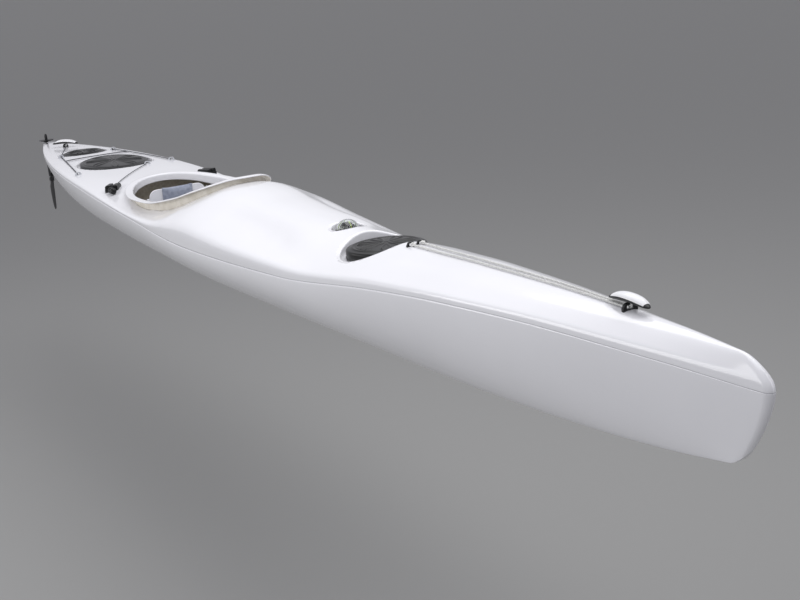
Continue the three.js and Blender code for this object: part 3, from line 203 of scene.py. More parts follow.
rise_shares = [[-1, 0.055], [-0.8, 0.107], [-0.65, 0.142], [-0.5, 0.184], [-0.4, 0.23], [-0.27, 0.313],
               [-0.2, 0.361], [-0.15, 0.427], [-0.1, 0.531], [-0.06, 0.676], [-0.02, 0.834], [0.036, 0.96],
               [0.15, 0.845], [0.32, 0.66], [0.42, 0.53], [0.48, 0.462], [0.55, 0.402], [0.65, 0.358],
               [0.75, 0.336], [0.85, 0.328], [1, 0.345]]


def follow(table, at):
    """A monotone cubic through [place, value] pairs: Hermite spans whose slopes are harmonic means."""
    place, value = np.array(table, float).T
    width = np.diff(place)
    rise = np.diff(value) / width
    product = rise[:-1] * rise[1:]
    mean = np.where(product > 0, 2 * product / np.where(product > 0, rise[:-1] + rise[1:], 1), 0)
    slope = np.concatenate([rise[:1], mean, rise[-1:]])
    at = np.clip(at, place[0], place[-1])
    i = np.clip(np.searchsorted(place, at, side="right") - 1, 0, len(width) - 1)
    t = (at - place[i]) / width[i]
    return ((2 * t ** 3 - 3 * t ** 2 + 1) * value[i] + (t ** 3 - 2 * t ** 2 + t) * width[i] * slope[i]
            + (3 * t ** 2 - 2 * t ** 3) * value[i + 1] + (t ** 3 - t ** 2) * width[i] * slope[i + 1])


def boat_lines(u, inset_share=0.0):
    """Half beam, keel, seam, ridge and keel flat at shares u of the half length, drawn in by a share of the wall."""
    x = u * half_length
    forward = x > fullest_at
    end_round = np.where(forward, stem_round, stern_round)
    reach = np.where(forward, half_length + stem_round - fullest_at, half_length + stern_round + fullest_at)
    along = np.abs(x - fullest_at) / reach
    end_half = np.where(forward, stem_half_width, stern_half_width)
    into_end = np.clip((np.abs(x) - half_length + end_round) / end_round, 0, 1)
    narrowing = np.where(forward, along ** 2 * (1 + bow_hollow * (1 - along) ** 2), along ** stern_fullness)
    beam = (end_half + (half_beam - end_half) * (1 - narrowing)) * np.sqrt(1 - into_end ** 2)
    overhang = np.clip((np.abs(x) - keel_flat_end) / (half_length - keel_flat_end), 0, 1)
    inset = inset_share * np.minimum(shell_wall, beam * shell_wall_share)

    def corner(size):
        into = np.clip((np.abs(x) - half_length + size) / size, 0, 1)
        return size * (1 - np.sqrt(1 - into ** 2))

    keel = np.where(forward, bow_rocker, stern_rocker) * overhang ** rocker_power + corner(keel_corner)
    seam = seam_height + seam_rise * follow(seam_shares, u)
    ridge = seam + deck_rise * follow(rise_shares, u) - corner(np.where(forward, deck_corner, stern_corner))
    flat = keel_flat_half_width * np.sqrt(np.maximum(end_flat_share, 1 - overhang))
    return {"u": u, "beam": beam - inset, "keel": keel + inset, "seam": seam, "ridge": ridge - inset,
            "flat": np.minimum(flat, (beam - inset) / 2),
            "squareness": squareness + squareness_growth * np.abs(u) ** squareness_power}


stem_tip = {key: float(value) for key, value in boat_lines(np.array(1.0)).items()}
stern_tip = {key: float(value) for key, value in boat_lines(np.array(-1.0)).items()}


def end_lean(u, z):
    """How far an end leans back at a height: powers of the height below and above the seam, growing as u ** 12."""
    below = np.clip((stem_tip["seam"] - z) / (stem_tip["seam"] - stem_tip["keel"]), 0, None)
    above = np.clip((z - stem_tip["seam"]) / (stem_tip["ridge"] - stem_tip["seam"]), 0, None)
    bow = -(stem_rake_below * below ** stem_power_below + stem_rake_above * above ** stem_power_above)
    stern = (stern_tip["ridge"] - z) * math.tan(stern_rake)
    return np.where(u > 0, bow, stern) * np.abs(u) ** lean_power


def hull_surface(u, across, inset_share):
    """The hull at across from -1, the starboard seam, over 0, the keel, to 1, the port seam: a flat, then a
    quarter turn of a superellipse, y = flat + (beam - flat) sin(a) ** n and z = seam - (seam - keel) cos(a) ** n."""
    line = boat_lines(u, inset_share)
    size = np.abs(across)
    flat_part = 0.06
    angle = np.clip((size - flat_part) / (1 - flat_part), 0, 1) * math.pi / 2
    on_flat = np.clip(size / flat_part, 0, 1)
    y = line["flat"] * on_flat + (line["beam"] - line["flat"]) * np.sin(angle) ** line["squareness"]
    drop = line["seam"] - seam_half_gap - line["keel"]
    z = line["keel"] + drop * (1 - np.cos(angle) ** line["squareness"])
    return np.stack([u * half_length + end_lean(u, z), np.sign(across) * y, z], -1)


def grid_quads(rows, columns, close_rows=False, close_columns=False):
    """Corner numbers of the quads between neighbours on a grid, where a closed way joins its last to its first."""
    row = np.arange(rows if close_rows else rows - 1)[:, None]
    column = np.arange(columns if close_columns else columns - 1)[None, :]
    next_row, next_column = (row + 1) % rows, (column + 1) % columns
    corners = [row * columns + column, row * columns + next_column, next_row * columns + next_column,
               next_row * columns + column]
    return np.stack(corners, -1).reshape(-1, 4)


def place_piece(name, mesh, body, replaced, sharp):
    """A finished mesh as a piece at the origin: smooth but for the edges past an angle, if one is given."""
    mesh.shade_smooth()
    if sharp:
        mesh.set_sharp_from_angle(angle=math.radians(sharp))
    piece = add_object(name, mesh)
    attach(piece, body)
    if replaced:
        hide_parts(replaced)
    return piece


weld_reach = 2e-6


def weld(mesh):
    """A bmesh copy of a mesh, with its doubled corners joined."""
    work = bmesh.new()
    work.from_mesh(mesh)
    bmesh.ops.remove_doubles(work, verts=work.verts, dist=weld_reach)
    return work


def make_piece(name, points, quads, finishes, body, replaced=None, finish_of_quad=None, sharp=None):
    """A piece from points and quads: its doubles are welded and its faces turned out."""
    mesh = bpy.data.meshes.new(name)
    points = np.asarray(points, float).reshape(-1, 3)
    mesh.vertices.add(len(points))
    mesh.vertices.foreach_set("co", points.ravel())
    mesh.loops.add(quads.size)
    mesh.loops.foreach_set("vertex_index", quads.ravel().astype(np.int32))
    mesh.polygons.add(len(quads))
    mesh.polygons.foreach_set("loop_start", np.arange(0, quads.size, 4, dtype=np.int32))
    for finish in finishes if isinstance(finishes, list) else [finishes]:
        mesh.materials.append(finish)
    if finish_of_quad is not None:
        mesh.polygons.foreach_set("material_index", finish_of_quad.astype(np.int32))
    mesh.update(calc_edges=True)
    work = weld(mesh)
    bmesh.ops.dissolve_degenerate(work, edges=work.edges, dist=weld_reach / 2)
    bmesh.ops.recalc_face_normals(work, faces=work.faces)
    work.to_mesh(mesh)
    work.free()
    return place_piece(name, mesh, body, replaced, sharp)


# White polyester gelcoat, mould fresh: glossy, with a faint orange peel that softens its reflections.
gelcoat = new_finish("white polyester gelcoat", "#E9E9ED", 0.17, ("#E6E6EA", "#EBEBEF", 0.6), (0.004, 0.000012),
                     IOR=1.5, Coat_Weight=0.35, Coat_Roughness=0.06)
# Sprayed flowcoat inside the shells: beige grey, dull, with the cloth's print showing through.
flowcoat = new_finish("beige grey flowcoat", "#D3CDC2", 0.55, ("#CBC5B9", "#DAD5CB", 0.03), (0.005, 0.0003))


def shell_rows(count, end_count):
    """Shares along the boat: an even run between the rounded ends, and a quarter sine within each of them."""
    end = np.sin(np.linspace(0, math.pi / 2, end_count))[1:]
    run = np.linspace(-half_length + stern_round, half_length - stem_round, count)
    stern = -(half_length - stern_round + stern_round * end[::-1])
    bow = half_length - stem_round + stem_round * end
    return np.concatenate([stern, run, bow]) / half_length


def make_shell(name, outer, inner, finishes, replaced=None, quads=None, sharp=None, body="root"):
    """A shell of two grids of points: the outer faces, the inner faces turned over in the last finish, and a
    strip of wall along every edge that only one kept face has."""
    if quads is None:
        quads = grid_quads(*outer.shape[:2])
    outer, inner = outer.reshape(-1, 3), inner.reshape(-1, 3)
    count = len(outer)
    edges = np.concatenate([quads[:, [k, (k + 1) % 4]] for k in range(4)])
    _, first, uses = np.unique(np.sort(edges, 1), axis=0, return_index=True, return_counts=True)
    rim = edges[first[uses == 1]]
    walls = np.stack([rim[:, 1], rim[:, 0], rim[:, 0] + count, rim[:, 1] + count], 1)
    faces = np.concatenate([quads, quads[:, ::-1] + count, walls])
    inside = np.repeat([0, len(finishes) - 1, 0], [len(quads), len(quads), len(walls)])
    return make_piece(name, np.concatenate([outer, inner]), faces, finishes, body, replaced, inside,
                      sharp)


hull_u = shell_rows(380, 12)[:, None]
hull_across = np.linspace(-1, 1, 65)[None, :]
make_shell("hull_shell", hull_surface(hull_u, hull_across, 0.0), hull_surface(hull_u, hull_across, 1.0),
           [gelcoat, flowcoat], "hull")

# The deck is a second moulding, with a crease along its shoulder and a flatter crown between the hatches.
# Its cockpit, its three hatch recesses and the compass well are openings in it.
crease_out_shares = [[-1, 0.9], [-0.6, 0.92], [-0.36, 0.88], [-0.26, 0.82], [-0.12, 0.8], [-0.02, 0.76],
                     [0.06, 0.66], [0.17, 0.6], [0.25, 0.66], [0.32, 0.78], [0.4, 0.85], [0.5, 0.88], [0.7, 0.88],
                     [1, 0.85]]
crease_up_shares = [[-1, 0.66], [-0.6, 0.62], [-0.38, 0.5], [-0.3, 0.36], [-0.2, 0.26], [-0.12, 0.36],
                    [-0.03, 0.6], [0.06, 0.7], [0.17, 0.64], [0.27, 0.53], [0.36, 0.4], [0.43, 0.38], [0.5, 0.4],
                    [0.6, 0.4], [0.75, 0.42], [1, 0.5]]
crown_out_shares = [[-1, 0.6], [-0.6, 0.62], [-0.38, 0.52], [-0.25, 0.42], [-0.1, 0.4], [0.05, 0.34],
                    [0.2, 0.34], [0.3, 0.4], [0.42, 0.43], [0.6, 0.46], [0.8, 0.44], [1, 0.45]]
crown_up_shares = [[-1, 0.93], [-0.6, 0.92], [-0.38, 0.86], [-0.25, 0.74], [-0.1, 0.78], [0.05, 0.93],
                   [0.25, 0.9], [0.35, 0.8], [0.43, 0.77], [0.52, 0.82], [0.65, 0.84], [0.8, 0.84], [1, 0.9]]
side_out_share = 0.985
side_up_share = 0.56


def deck_surface(u, across, inset_share=0.0):
    """The deck at across from -1, the starboard seam, over 0, the ridge, to 1, the port seam: a Catmull-Rom
    spline through the seam, the side, the crease, the crown's edge and the ridge, mirrored at the ridge."""
    line = boat_lines(u, inset_share)
    seam = line["seam"] + seam_half_gap
    rise = line["ridge"] - seam
    crease_up = follow(crease_up_shares, u)
    out = [line["beam"], line["beam"] * side_out_share, line["beam"] * follow(crease_out_shares, u),
           line["beam"] * follow(crown_out_shares, u), 0 * line["beam"]]
    up = [seam, seam + rise * side_up_share * crease_up, seam + rise * crease_up,
          seam + rise * follow(crown_up_shares, u), line["ridge"]]
    out, up = [out[0], *out, -out[3]], [up[0], *up, up[3]]
    share = np.clip((1 - np.abs(across)) * 4, 0, 4)
    span = np.clip(np.floor(share), 0, 3).astype(int)
    s = share - span
    weights = [(-s + 2 * s ** 2 - s ** 3) / 2, (2 - 5 * s ** 2 + 3 * s ** 3) / 2, (s + 4 * s ** 2 - 3 * s ** 3) / 2,
               (-s ** 2 + s ** 3) / 2]
    shape = np.broadcast_shapes(np.shape(u), np.shape(across))
    columns = [np.stack([np.broadcast_to(value, shape) for value in values]) for values in (out, up)]
    spans = np.broadcast_to(span, shape)[None]
    y, z = (sum(weight * np.take_along_axis(column, spans + k, 0)[0] for k, weight in enumerate(weights))
            for column in columns)
    return np.stack([np.broadcast_to(u, shape) * half_length + end_lean(u, z), np.sign(across) * y, z], -1)


def deck_height(x, y):
    """The deck's height over places: each place's half section is sampled and its height read between samples."""
    x, y = np.broadcast_arrays(np.asarray(x, float), np.abs(np.asarray(y, float)))
    flat_x, flat_y = x.ravel(), y.ravel()
    section = deck_surface((flat_x / half_length)[:, None], np.linspace(1, 0, 161)[None, :])
    inner = np.clip(np.argmax(section[:, :, 1] <= flat_y[:, None], 1), 1, 160)
    rows = np.arange(len(flat_x))
    near, far = section[rows, inner], section[rows, inner - 1]
    share = np.clip((flat_y - near[:, 1]) / (far[:, 1] - near[:, 1] + 1e-9), 0, 1)
    return (near[:, 2] + (far[:, 2] - near[:, 2]) * share).reshape(x.shape)


coaming_back, coaming_front = -0.945, 0.095
coaming_half_width, coaming_taper = 0.218, 0.2
lip_width, lip_thick, riser_wall, riser_below = 0.024, 0.0045, 0.005, 0.018
coaming_middle = (coaming_back + coaming_front) / 2
coaming_half_length = (coaming_front - coaming_back) / 2
recess_round = 0.007
recess_wall = 0.003
cover_clear = 0.0006
fit_gap = 0.0003
hatch_sizes = {"fore": {"margin": 0.016}, "day": {"margin": 0.014}, "stern": {"margin": 0.012}}
for hatch_name, hatch in hatch_sizes.items():
    low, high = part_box(f"{hatch_name}_hatch_cover")
    hatch["x"] = (low.x + high.x) / 2
    hatch["half_x"], hatch["half_y"] = (high.x - low.x) / 2, (high.y - low.y) / 2
    hatch["seat"], hatch["top"], hatch["floor"] = low.z, high.z, low.z - cover_clear
compass_low, compass_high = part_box("compass_housing")
compass_x = (compass_low.x + compass_high.x) / 2
compass_radius = (compass_high.x - compass_low.x) / 2
well_margin = 0.009
well_floor = compass_low.z - fit_gap
# Each opening is an oval (middle, half length, half width, taper), and the deck's corners inside it are moved
# out along their own spoke to its edge.
riser_half_length, riser_half_width = coaming_half_length - lip_width, coaming_half_width - lip_width
well_half = compass_radius + well_margin
openings = [(coaming_middle, riser_half_length + fit_gap, riser_half_width + fit_gap, coaming_taper)]
openings += [(hatch["x"], hatch["half_x"] + hatch["margin"] + recess_round,
              hatch["half_y"] + hatch["margin"] + recess_round, 0.0) for hatch in hatch_sizes.values()]
openings += [(compass_x, well_half + recess_round, well_half + recess_round, 0.0)]
deck_u = shell_rows(540, 10)[:, None]
deck_across = np.linspace(-1, 1, 73)[None, :]
deck_outer = deck_surface(deck_u, deck_across)
deck_inner = deck_surface(deck_u, deck_across, 1.0)
deck_quads = grid_quads(deck_u.shape[0], deck_across.shape[1])
deck_x, deck_y = deck_outer[..., 0].ravel(), deck_outer[..., 1].ravel()
kept = np.ones(len(deck_quads), bool)
snapped_x, snapped_y = deck_x.copy(), deck_y.copy()
for middle, half_x, half_y, taper in openings:
    along = (deck_x - middle) / half_x
    out = deck_y / (half_y * (1 - taper * np.clip(along, -1, 1)))
    radius = np.hypot(along, out)
    within = radius < 1
    kept &= ~within[deck_quads].all(1)
    along, out = (np.where(within, value / np.maximum(radius, 1e-6), value) for value in (along, out))
    snapped_x = np.where(within, middle + along * half_x, snapped_x)
    snapped_y = np.where(within, out * half_y * (1 - taper * np.clip(along, -1, 1)), snapped_y)
moved = (snapped_x != deck_x) | (snapped_y != deck_y)
used = np.zeros(len(deck_x), bool)
used[deck_quads[kept].ravel()] = True
moved &= used
deck_outer, deck_inner = deck_outer.reshape(-1, 3), deck_inner.reshape(-1, 3)
moved_height = deck_height(snapped_x[moved], snapped_y[moved])
deck_outer[moved] = np.stack([snapped_x[moved], snapped_y[moved], moved_height], 1)
deck_inner[moved] = deck_outer[moved] - [0, 0, shell_wall]
make_shell("deck_shell", deck_outer, deck_inner, [gelcoat, flowcoat], "deck", deck_quads[kept])


def oval_ring(middle, half_x, half_y, count):
    """The cosines and sines of an oval's turns, as x and y about a middle on the boat's plane."""
    turn = np.linspace(0, 2 * math.pi, count, endpoint=False)
    return middle + half_x * np.cos(turn), half_y * np.sin(turn)


def make_recess(name, middle, half_x, half_y, floor_height, mouth_inset):
    """A pan let into the deck: rings of an oval, each a row of (outset, drop, lowest, highest) whose height is
    the deck's less the drop, held between the two. They run over a rolled edge, a wall, a rounded foot and the
    floor to its mouth, and back on the underside."""
    under, reach = floor_height - recess_wall, 1.0
    quarter = [(recess_round * (1 - math.sin(a)), recess_round * (1 - math.cos(a)))
               for a in np.linspace(0, math.pi / 2, 7)]
    rows = [(recess_round + recess_lap, recess_tuck, -reach, reach)]
    rows += [(out, drop, floor_height, reach) for out, drop in quarter]
    rows += [(-drop, recess_round, floor_height, floor_height + out) for out, drop in quarter]
    rows += [(-mouth_inset, 0, floor_height, floor_height), (-mouth_inset, 0, under, under),
             (recess_wall, 0, under, under), (recess_wall, recess_round, under, reach),
             (recess_round + recess_lap, recess_wall + recess_tuck, -reach, reach)]
    rings = []
    for out, drop, lowest, highest in rows:
        x, y = oval_ring(middle, half_x + out, half_y + out, recess_sides)
        deck_top = np.maximum(deck_height(x, y), floor_height + recess_least)
        rings.append(np.stack([x, y, np.clip(deck_top - drop, lowest, highest)], -1))
    make_piece(name, rings, grid_quads(len(rings), recess_sides, True, True), gelcoat, "root",
               sharp=50)


recess_sides = 144
recess_lap, recess_tuck, recess_least = 0.003, 0.0012, 0.0004
rim_reach = 0.0167
for hatch_name, hatch in hatch_sizes.items():
    make_recess(f"{hatch_name}_hatch_recess", hatch["x"], hatch["half_x"] + hatch["margin"],
                hatch["half_y"] + hatch["margin"], hatch["floor"], hatch["margin"] + rim_reach)
make_recess("compass_well", compass_x, well_half, well_half, well_floor, well_half - 0.0001)

# The seam: hull and deck are joined by a band of resin and cloth inside, and the gap between them is filled
# flush with a grey sealant, which shows as a thin line along both flanks.
seam_filler = new_finish("grey seam filler", "#A3A3A8", 0.5, ("#9A9AA0", "#ABABB0", 0.05))
seam_u = shell_rows(300, 8)
seam_line = boat_lines(seam_u)
filler_deep, filler_half, filler_inset = 0.0016, 0.0005, 0.00025
outer_y = np.maximum(seam_line["beam"] - filler_inset, 0)
inner_y = np.maximum(outer_y - filler_deep, 0)
corners = [(outer_y, -filler_half), (outer_y, filler_half), (inner_y, filler_half), (inner_y, -filler_half)]
seam_x = seam_u * half_length + end_lean(seam_u, seam_line["seam"])
sides_of_boat = (("port", 1), ("starboard", -1))
for side_name, side in sides_of_boat:
    grid = np.stack([np.stack([seam_x, side * y, seam_line["seam"] + z], -1) for y, z in corners], 1)
    make_piece(f"seam_filler_{side_name}", grid, grid_quads(len(seam_u), 4, False, True), seam_filler, "root",
               sharp=40)

# Coaming: one moulding whose riser drops through the deck and whose lip holds a spray cover, high at the front.
# Its lip and inside are gelcoat. Under the lip and down the riser's outside it takes the darker beige flowcoat:
# partly the flowcoat that shows there, and partly painted shade under the lip's overhang.
lip_rise = deck_rise + 0.018
lip_shares = [[0, 0.492], [0.3, 0.382], [0.5, 0.405], [0.697, 0.568], [0.81, 0.735], [0.91, 0.889],
              [0.957, 0.962], [1, 1]]
lip_inner_round = 0.007
lip_under_round = 0.006


def coaming_surface(turn, section):
    """The coaming: at each turn about its middle, a closed section of [inset, height over the lip's top, share
    of the way down to the riser's foot] is set on the egg-shaped outline."""
    inset, above, down = (column[None, :] for column in np.array(section, float).T)
    turn = turn[:, None]
    x = coaming_middle + (coaming_half_length - inset) * np.cos(turn)
    y = (coaming_half_width - inset) * np.sin(turn) * (1 - coaming_taper * np.cos(turn))
    riser_x = coaming_middle + riser_half_length * np.cos(turn)
    riser_y = riser_half_width * np.sin(turn) * (1 - coaming_taper * np.cos(turn))
    top = seam_height + lip_rise * follow(lip_shares, (riser_x - coaming_back) / (coaming_front - coaming_back))
    foot = deck_height(riser_x, riser_y) - riser_below
    return np.stack([x, y, top + above + down * (foot - top - above)], -1)


def arc(centre, radius, start, end, count):
    """Points [inset, height, 0] on an arc about a centre, from a start to an end in degrees."""
    turn = np.radians(np.linspace(start, end, count))
    return [[centre[0] + radius * math.cos(a), centre[1] + radius * math.sin(a), 0.0] for a in turn]


riser_inner = lip_width + riser_wall
coaming_section = (arc((lip_thick / 2, -lip_thick / 2), lip_thick / 2, 270, 90, 9)
                   + [[0.008, 0.0004, 0], [0.014, 0.0005, 0], [0.019, 0.0002, 0]]
                   + arc((riser_inner - lip_inner_round, -lip_inner_round), lip_inner_round, 75, 0, 7)
                   + [[riser_inner, -lip_inner_round, share] for share in (0.1, 0.3, 0.6, 0.85, 1.0)]
                   + [[lip_width, -lip_thick - lip_under_round, share] for share in (1.0, 0.85, 0.6, 0.3, 0.1)]
                   + arc((lip_width - lip_under_round, -lip_thick - lip_under_round), lip_under_round, 0, 90, 6)
                   + [[0.012, -lip_thick, 0], [0.006, -lip_thick, 0]])
# From this row of the section on, under the lip and down the riser's outside, the flowcoat also paints in the shade
# under the lip.
under_lip_shade_from = 24
coaming_turn = np.linspace(0, 2 * math.pi, 260, endpoint=False)
coaming_grid = coaming_surface(coaming_turn, coaming_section)
coaming_quads = grid_quads(len(coaming_turn), len(coaming_section), True, True)
under_lip_shade = coaming_quads[:, 0] % len(coaming_section) >= under_lip_shade_from
make_piece("coaming_rim", coaming_grid, coaming_quads, [gelcoat, flowcoat], "root", "coaming",
           under_lip_shade)

# Hatch covers: black rubber, moulded with a bead round the top and leaf-shaped ribs that stiffen it.
# Each is pressed over a plastic rim that is bonded into its recess.
rubber = new_finish("black moulded rubber", "#0C0D0E", 0.36, ("#090A0B", "#111213", 0.045), (0.0012, 0.00004),
                    IOR=1.5, Specular_IOR_Level=0.3)
cover_side_round, cover_crown, cover_wall = 0.006, 0.006, 0.005
bead_in, bead_height, bead_width = 0.012, 0.0022, 0.0035
groove_in, groove_depth, groove_width = 0.0205, 0.0012, 0.002
rib_height, rib_width, ribs_in, rib_fade = 0.0034, 0.0028, 0.026, 0.0015
hub_radius, hub_width, hub_share, hub_fade, hub_height = 0.010, 0.003, 0.09, 0.015, 0.6
relief_most = 0.002
# The beads round the foot of a cover's side, each (inset, height over the foot, width).
foot_beads = ((-0.0016, 0.0035, 0.0022), (0.0007, 0.0085, 0.0016))


def ridge(distance, width):
    """A rounded ridge across a distance: exp(-(d / w) ** 2)."""
    return np.exp(-(distance / width) ** 2)


def cover_relief(share, turn, half_x, half_y, leaves, swing):
    """Height of the top's moulded relief: a bead near the edge, a groove inside it, and pairs of arcs
    turn = turn_k +- swing sin(pi share), which bound leaves between the hub and the bead, faded at both ends."""
    size = (half_x + half_y) / 2
    edge = (1 - share) * size
    height = bead_height * ridge(edge - bead_in, bead_width) - groove_depth * ridge(edge - groove_in, groove_width)
    fade = 1 / (1 + np.exp(-(edge - ribs_in) / rib_fade)) / (1 + np.exp(-(share - hub_share) / hub_fade))
    ribs = np.zeros_like(share)
    for k in range(leaves):
        for bend in (-1, 1):
            centre = 2 * math.pi * (k + 0.5) / leaves + bend * swing * np.sin(math.pi * np.clip(share, 0, 1))
            away = (turn - centre + math.pi) % (2 * math.pi) - math.pi
            ribs = np.maximum(ribs, ridge(np.abs(away) * share * size, rib_width))
    hub = ridge(share * size - hub_radius, hub_width)
    return height + rib_height * (ribs * fade + hub_height * hub)


def make_cover(name, hatch, leaves, swing):
    """A cover as rings about its centre: the domed top with its relief, a rounded shoulder, the side with a
    bead at its foot, and the inside of the skirt back to the middle."""
    turn = np.linspace(0, 2 * math.pi, 288, endpoint=False)[None, :]
    share = np.linspace(0, 1, 84)[:, None]
    shoulder = hatch["top"] - cover_crown
    reach_x, reach_y = hatch["half_x"] - cover_side_round, hatch["half_y"] - cover_side_round
    height = shoulder + cover_crown * (1 - share ** 4) + cover_relief(share, turn, reach_x, reach_y, leaves, swing)
    height = np.minimum(height, hatch["top"] + relief_most)
    rings = [np.stack([hatch["x"] + reach_x * share * np.cos(turn), reach_y * share * np.sin(turn), height], -1)]

    def add_ring(inset, z):
        x = hatch["x"] + (hatch["half_x"] - inset) * np.cos(turn)
        rings.append(np.stack([x, (hatch["half_y"] - inset) * np.sin(turn), np.full_like(turn, z)], -1))

    for angle in np.linspace(15, 90, 6):
        bend = math.radians(angle)
        add_ring(cover_side_round * (1 - math.sin(bend)), shoulder - cover_side_round * (1 - math.cos(bend)))
    side_top, foot = shoulder - cover_side_round, hatch["seat"]
    for down in np.linspace(0.15, 1, 14):
        z = side_top + (foot - side_top) * down
        add_ring(sum(inset * ridge(z - foot - up, width) for inset, up, width in foot_beads), z)
    inner_top = shoulder - cover_wall
    for inset, z in ((cover_wall, foot), (cover_wall, inner_top), (hatch["half_y"], inner_top)):
        add_ring(inset, z)
    grid = np.concatenate(rings)
    grid[-1] = grid[-1].mean(0)
    make_piece(f"{name}_hatch_cap", grid, grid_quads(len(grid), turn.size, False, True), rubber, f"{name}_cover",
               f"{name}_hatch_cover")


for hatch_name, leaves, swing in (("fore", 7, 0.2), ("day", 8, 0.16), ("stern", 6, 0.22)):
    make_cover(hatch_name, hatch_sizes[hatch_name], leaves, swing)

# Hatch rims: black moulded plastic rings, each with a flange bonded into its recess and an upstand that the
# cover's skirt grips.
black_plastic = new_finish("black moulded polypropylene", "#101113", 0.38, ("#0E0F11", "#151618", 0.02),
                           (0.0007, 0.00003), IOR=1.49, Specular_IOR_Level=0.35)
rim_sides = 160
rim_profile = [(0.020, -0.0143), (0.0172, -0.0143), (0.017, -0.014), (0.017, 0), (0.0095, 0), (0.009, 0.0005),
               (0.009, 0.0025), (0.0095, 0.003), (0.0165, 0.003), (0.017, 0.0035), (0.017, 0.0123),
               (0.0177, 0.013), (0.0193, 0.013), (0.020, 0.0123)]
for hatch_name, hatch in hatch_sizes.items():
    rings = []
    for inset, up in rim_profile:
        x, y = oval_ring(hatch["x"], hatch["half_x"] - inset, hatch["half_y"] - inset, rim_sides)
        rings.append(np.stack([x, y, np.full_like(x, hatch["floor"] + fit_gap + up)], -1))
    make_piece(f"{hatch_name}_hatch_ring", rings, grid_quads(len(rings), rim_sides, True, True), black_plastic,
               "root", f"{hatch_name}_hatch_rim", sharp=40)


# Inside the boat: bulkheads of bare laminate, a foam cradle, and the footrest's rails, bar, pin and pedals.
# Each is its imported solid, with its edges rounded.
def round_edges(piece, width, angle):
    """A rounding of a width on every edge sharper than an angle."""
    rounding = piece.modifiers.new("rounded_edges", "BEVEL")
    rounding.width, rounding.segments = width, 3
    rounding.limit_method, rounding.angle_limit = "ANGLE", math.radians(angle)
    return rounding


def add_mesh(name, points, faces, finish, body, replaced=None, sharp=40):
    """A piece from points and faces of any number of corners."""
    mesh = bpy.data.meshes.new(name)
    mesh.from_pydata(points, [], faces)
    mesh.materials.append(finish)
    return place_piece(name, mesh, body, replaced, sharp)


def soften(node, finish, width=0.0008):
    """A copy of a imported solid, named after it, with its flat fields joined and its edges rounded."""
    solid = frame["nodes"][node]
    work = weld(solid.data)
    bmesh.ops.dissolve_limit(work, angle_limit=math.radians(flat_angle), verts=work.verts, edges=work.edges)
    work.verts.index_update()
    points = [tuple(vertex.co) for vertex in work.verts]
    faces = [[vertex.index for vertex in face.verts] for face in work.faces]
    work.free()
    piece = add_mesh(f"{node}_piece", points, faces, finish, solid["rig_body"], node, soft_angle)
    round_edges(piece, width, soft_angle).harden_normals = True


flat_angle, soft_angle = 1.5, 32
laminate = new_finish("bare woven laminate", "#B9B3A6", 0.5, ("#AEA798", "#C2BCB0", 0.01), (0.003, 0.0002))
foam = new_finish("closed cell foam", "#56585B", 0.9, ("#4E5053", "#5E6063", 0.01), (0.0015, 0.0003))
aluminium = new_finish("anodised aluminium", "#B9BBBD", 0.35, ("#B2B4B6", "#BFC1C3", 0.02), (0.0005, 0.00001),
                       Metallic=1.0)
steel = new_finish("stainless steel", "#C2C3C4", 0.25, ("#BCBDBE", "#C9CACB", 0.01), (0.0004, 0.000006),
                   Metallic=1.0)
for wall_name in ("fore_bulkhead", "cockpit_bulkhead", "stern_bulkhead"):
    soften(wall_name, laminate)
soften("seat_cradle", foam, 0.003)
for metal_name in ("footrest_rail_port", "footrest_rail_starboard", "footrest_bar"):
    soften(metal_name, aluminium)
soften("pedal_pin", steel, 0.0004)
for pedal_name in ("pedal_port", "pedal_starboard"):
    soften(pedal_name, black_plastic, 0.0015)

# Seat: a white moulded bucket whose sections are quarter superellipses, 4 mm thick, with a rounded lip.
# A back rest stands across it, and four pads in a woven blue grey cover are swollen by a short cloth simulation. The
# cover's blue grey is partly the pads' own colour and partly painted shade on the seat's base.
seat_back, seat_front, seat_half_width = -0.800, -0.410, 0.172
seat_low, seat_rise, seat_thick, seat_square = 0.045, 0.164, 0.004, 0.75
seat_floor_shares = [[0, 0.55], [0.2, 0.14], [0.45, 0], [0.75, 0.08], [1, 0.24]]
seat_side_shares = [[0, 1.05], [0.3, 1], [0.6, 0.72], [1, 0.5]]
seat_width_shares = [[0, 0.84], [0.3, 1], [0.7, 1], [1, 0.93]]


def seat_point(along, across, inset):
    """The seat at shares along it from the back and across from -1 to 1, inset from its outside: with the angle
    a = across pi / 2, y = half width |sin a| ** 0.75 and z = side - (side - floor) cos(a) ** 0.75."""
    along, across, inset = np.broadcast_arrays(along, across, inset)
    angle = across * math.pi / 2
    side = seat_low + seat_rise * follow(seat_side_shares, along)
    lowest = seat_low + seat_rise * follow(seat_floor_shares, along) + inset
    half = seat_half_width * follow(seat_width_shares, along) - inset
    y = np.sign(across) * half * np.abs(np.sin(angle)) ** seat_square
    z = side - (side - lowest) * np.maximum(np.cos(angle), 0) ** seat_square
    return np.stack([seat_back + (seat_front - seat_back) * along, y, z], -1)


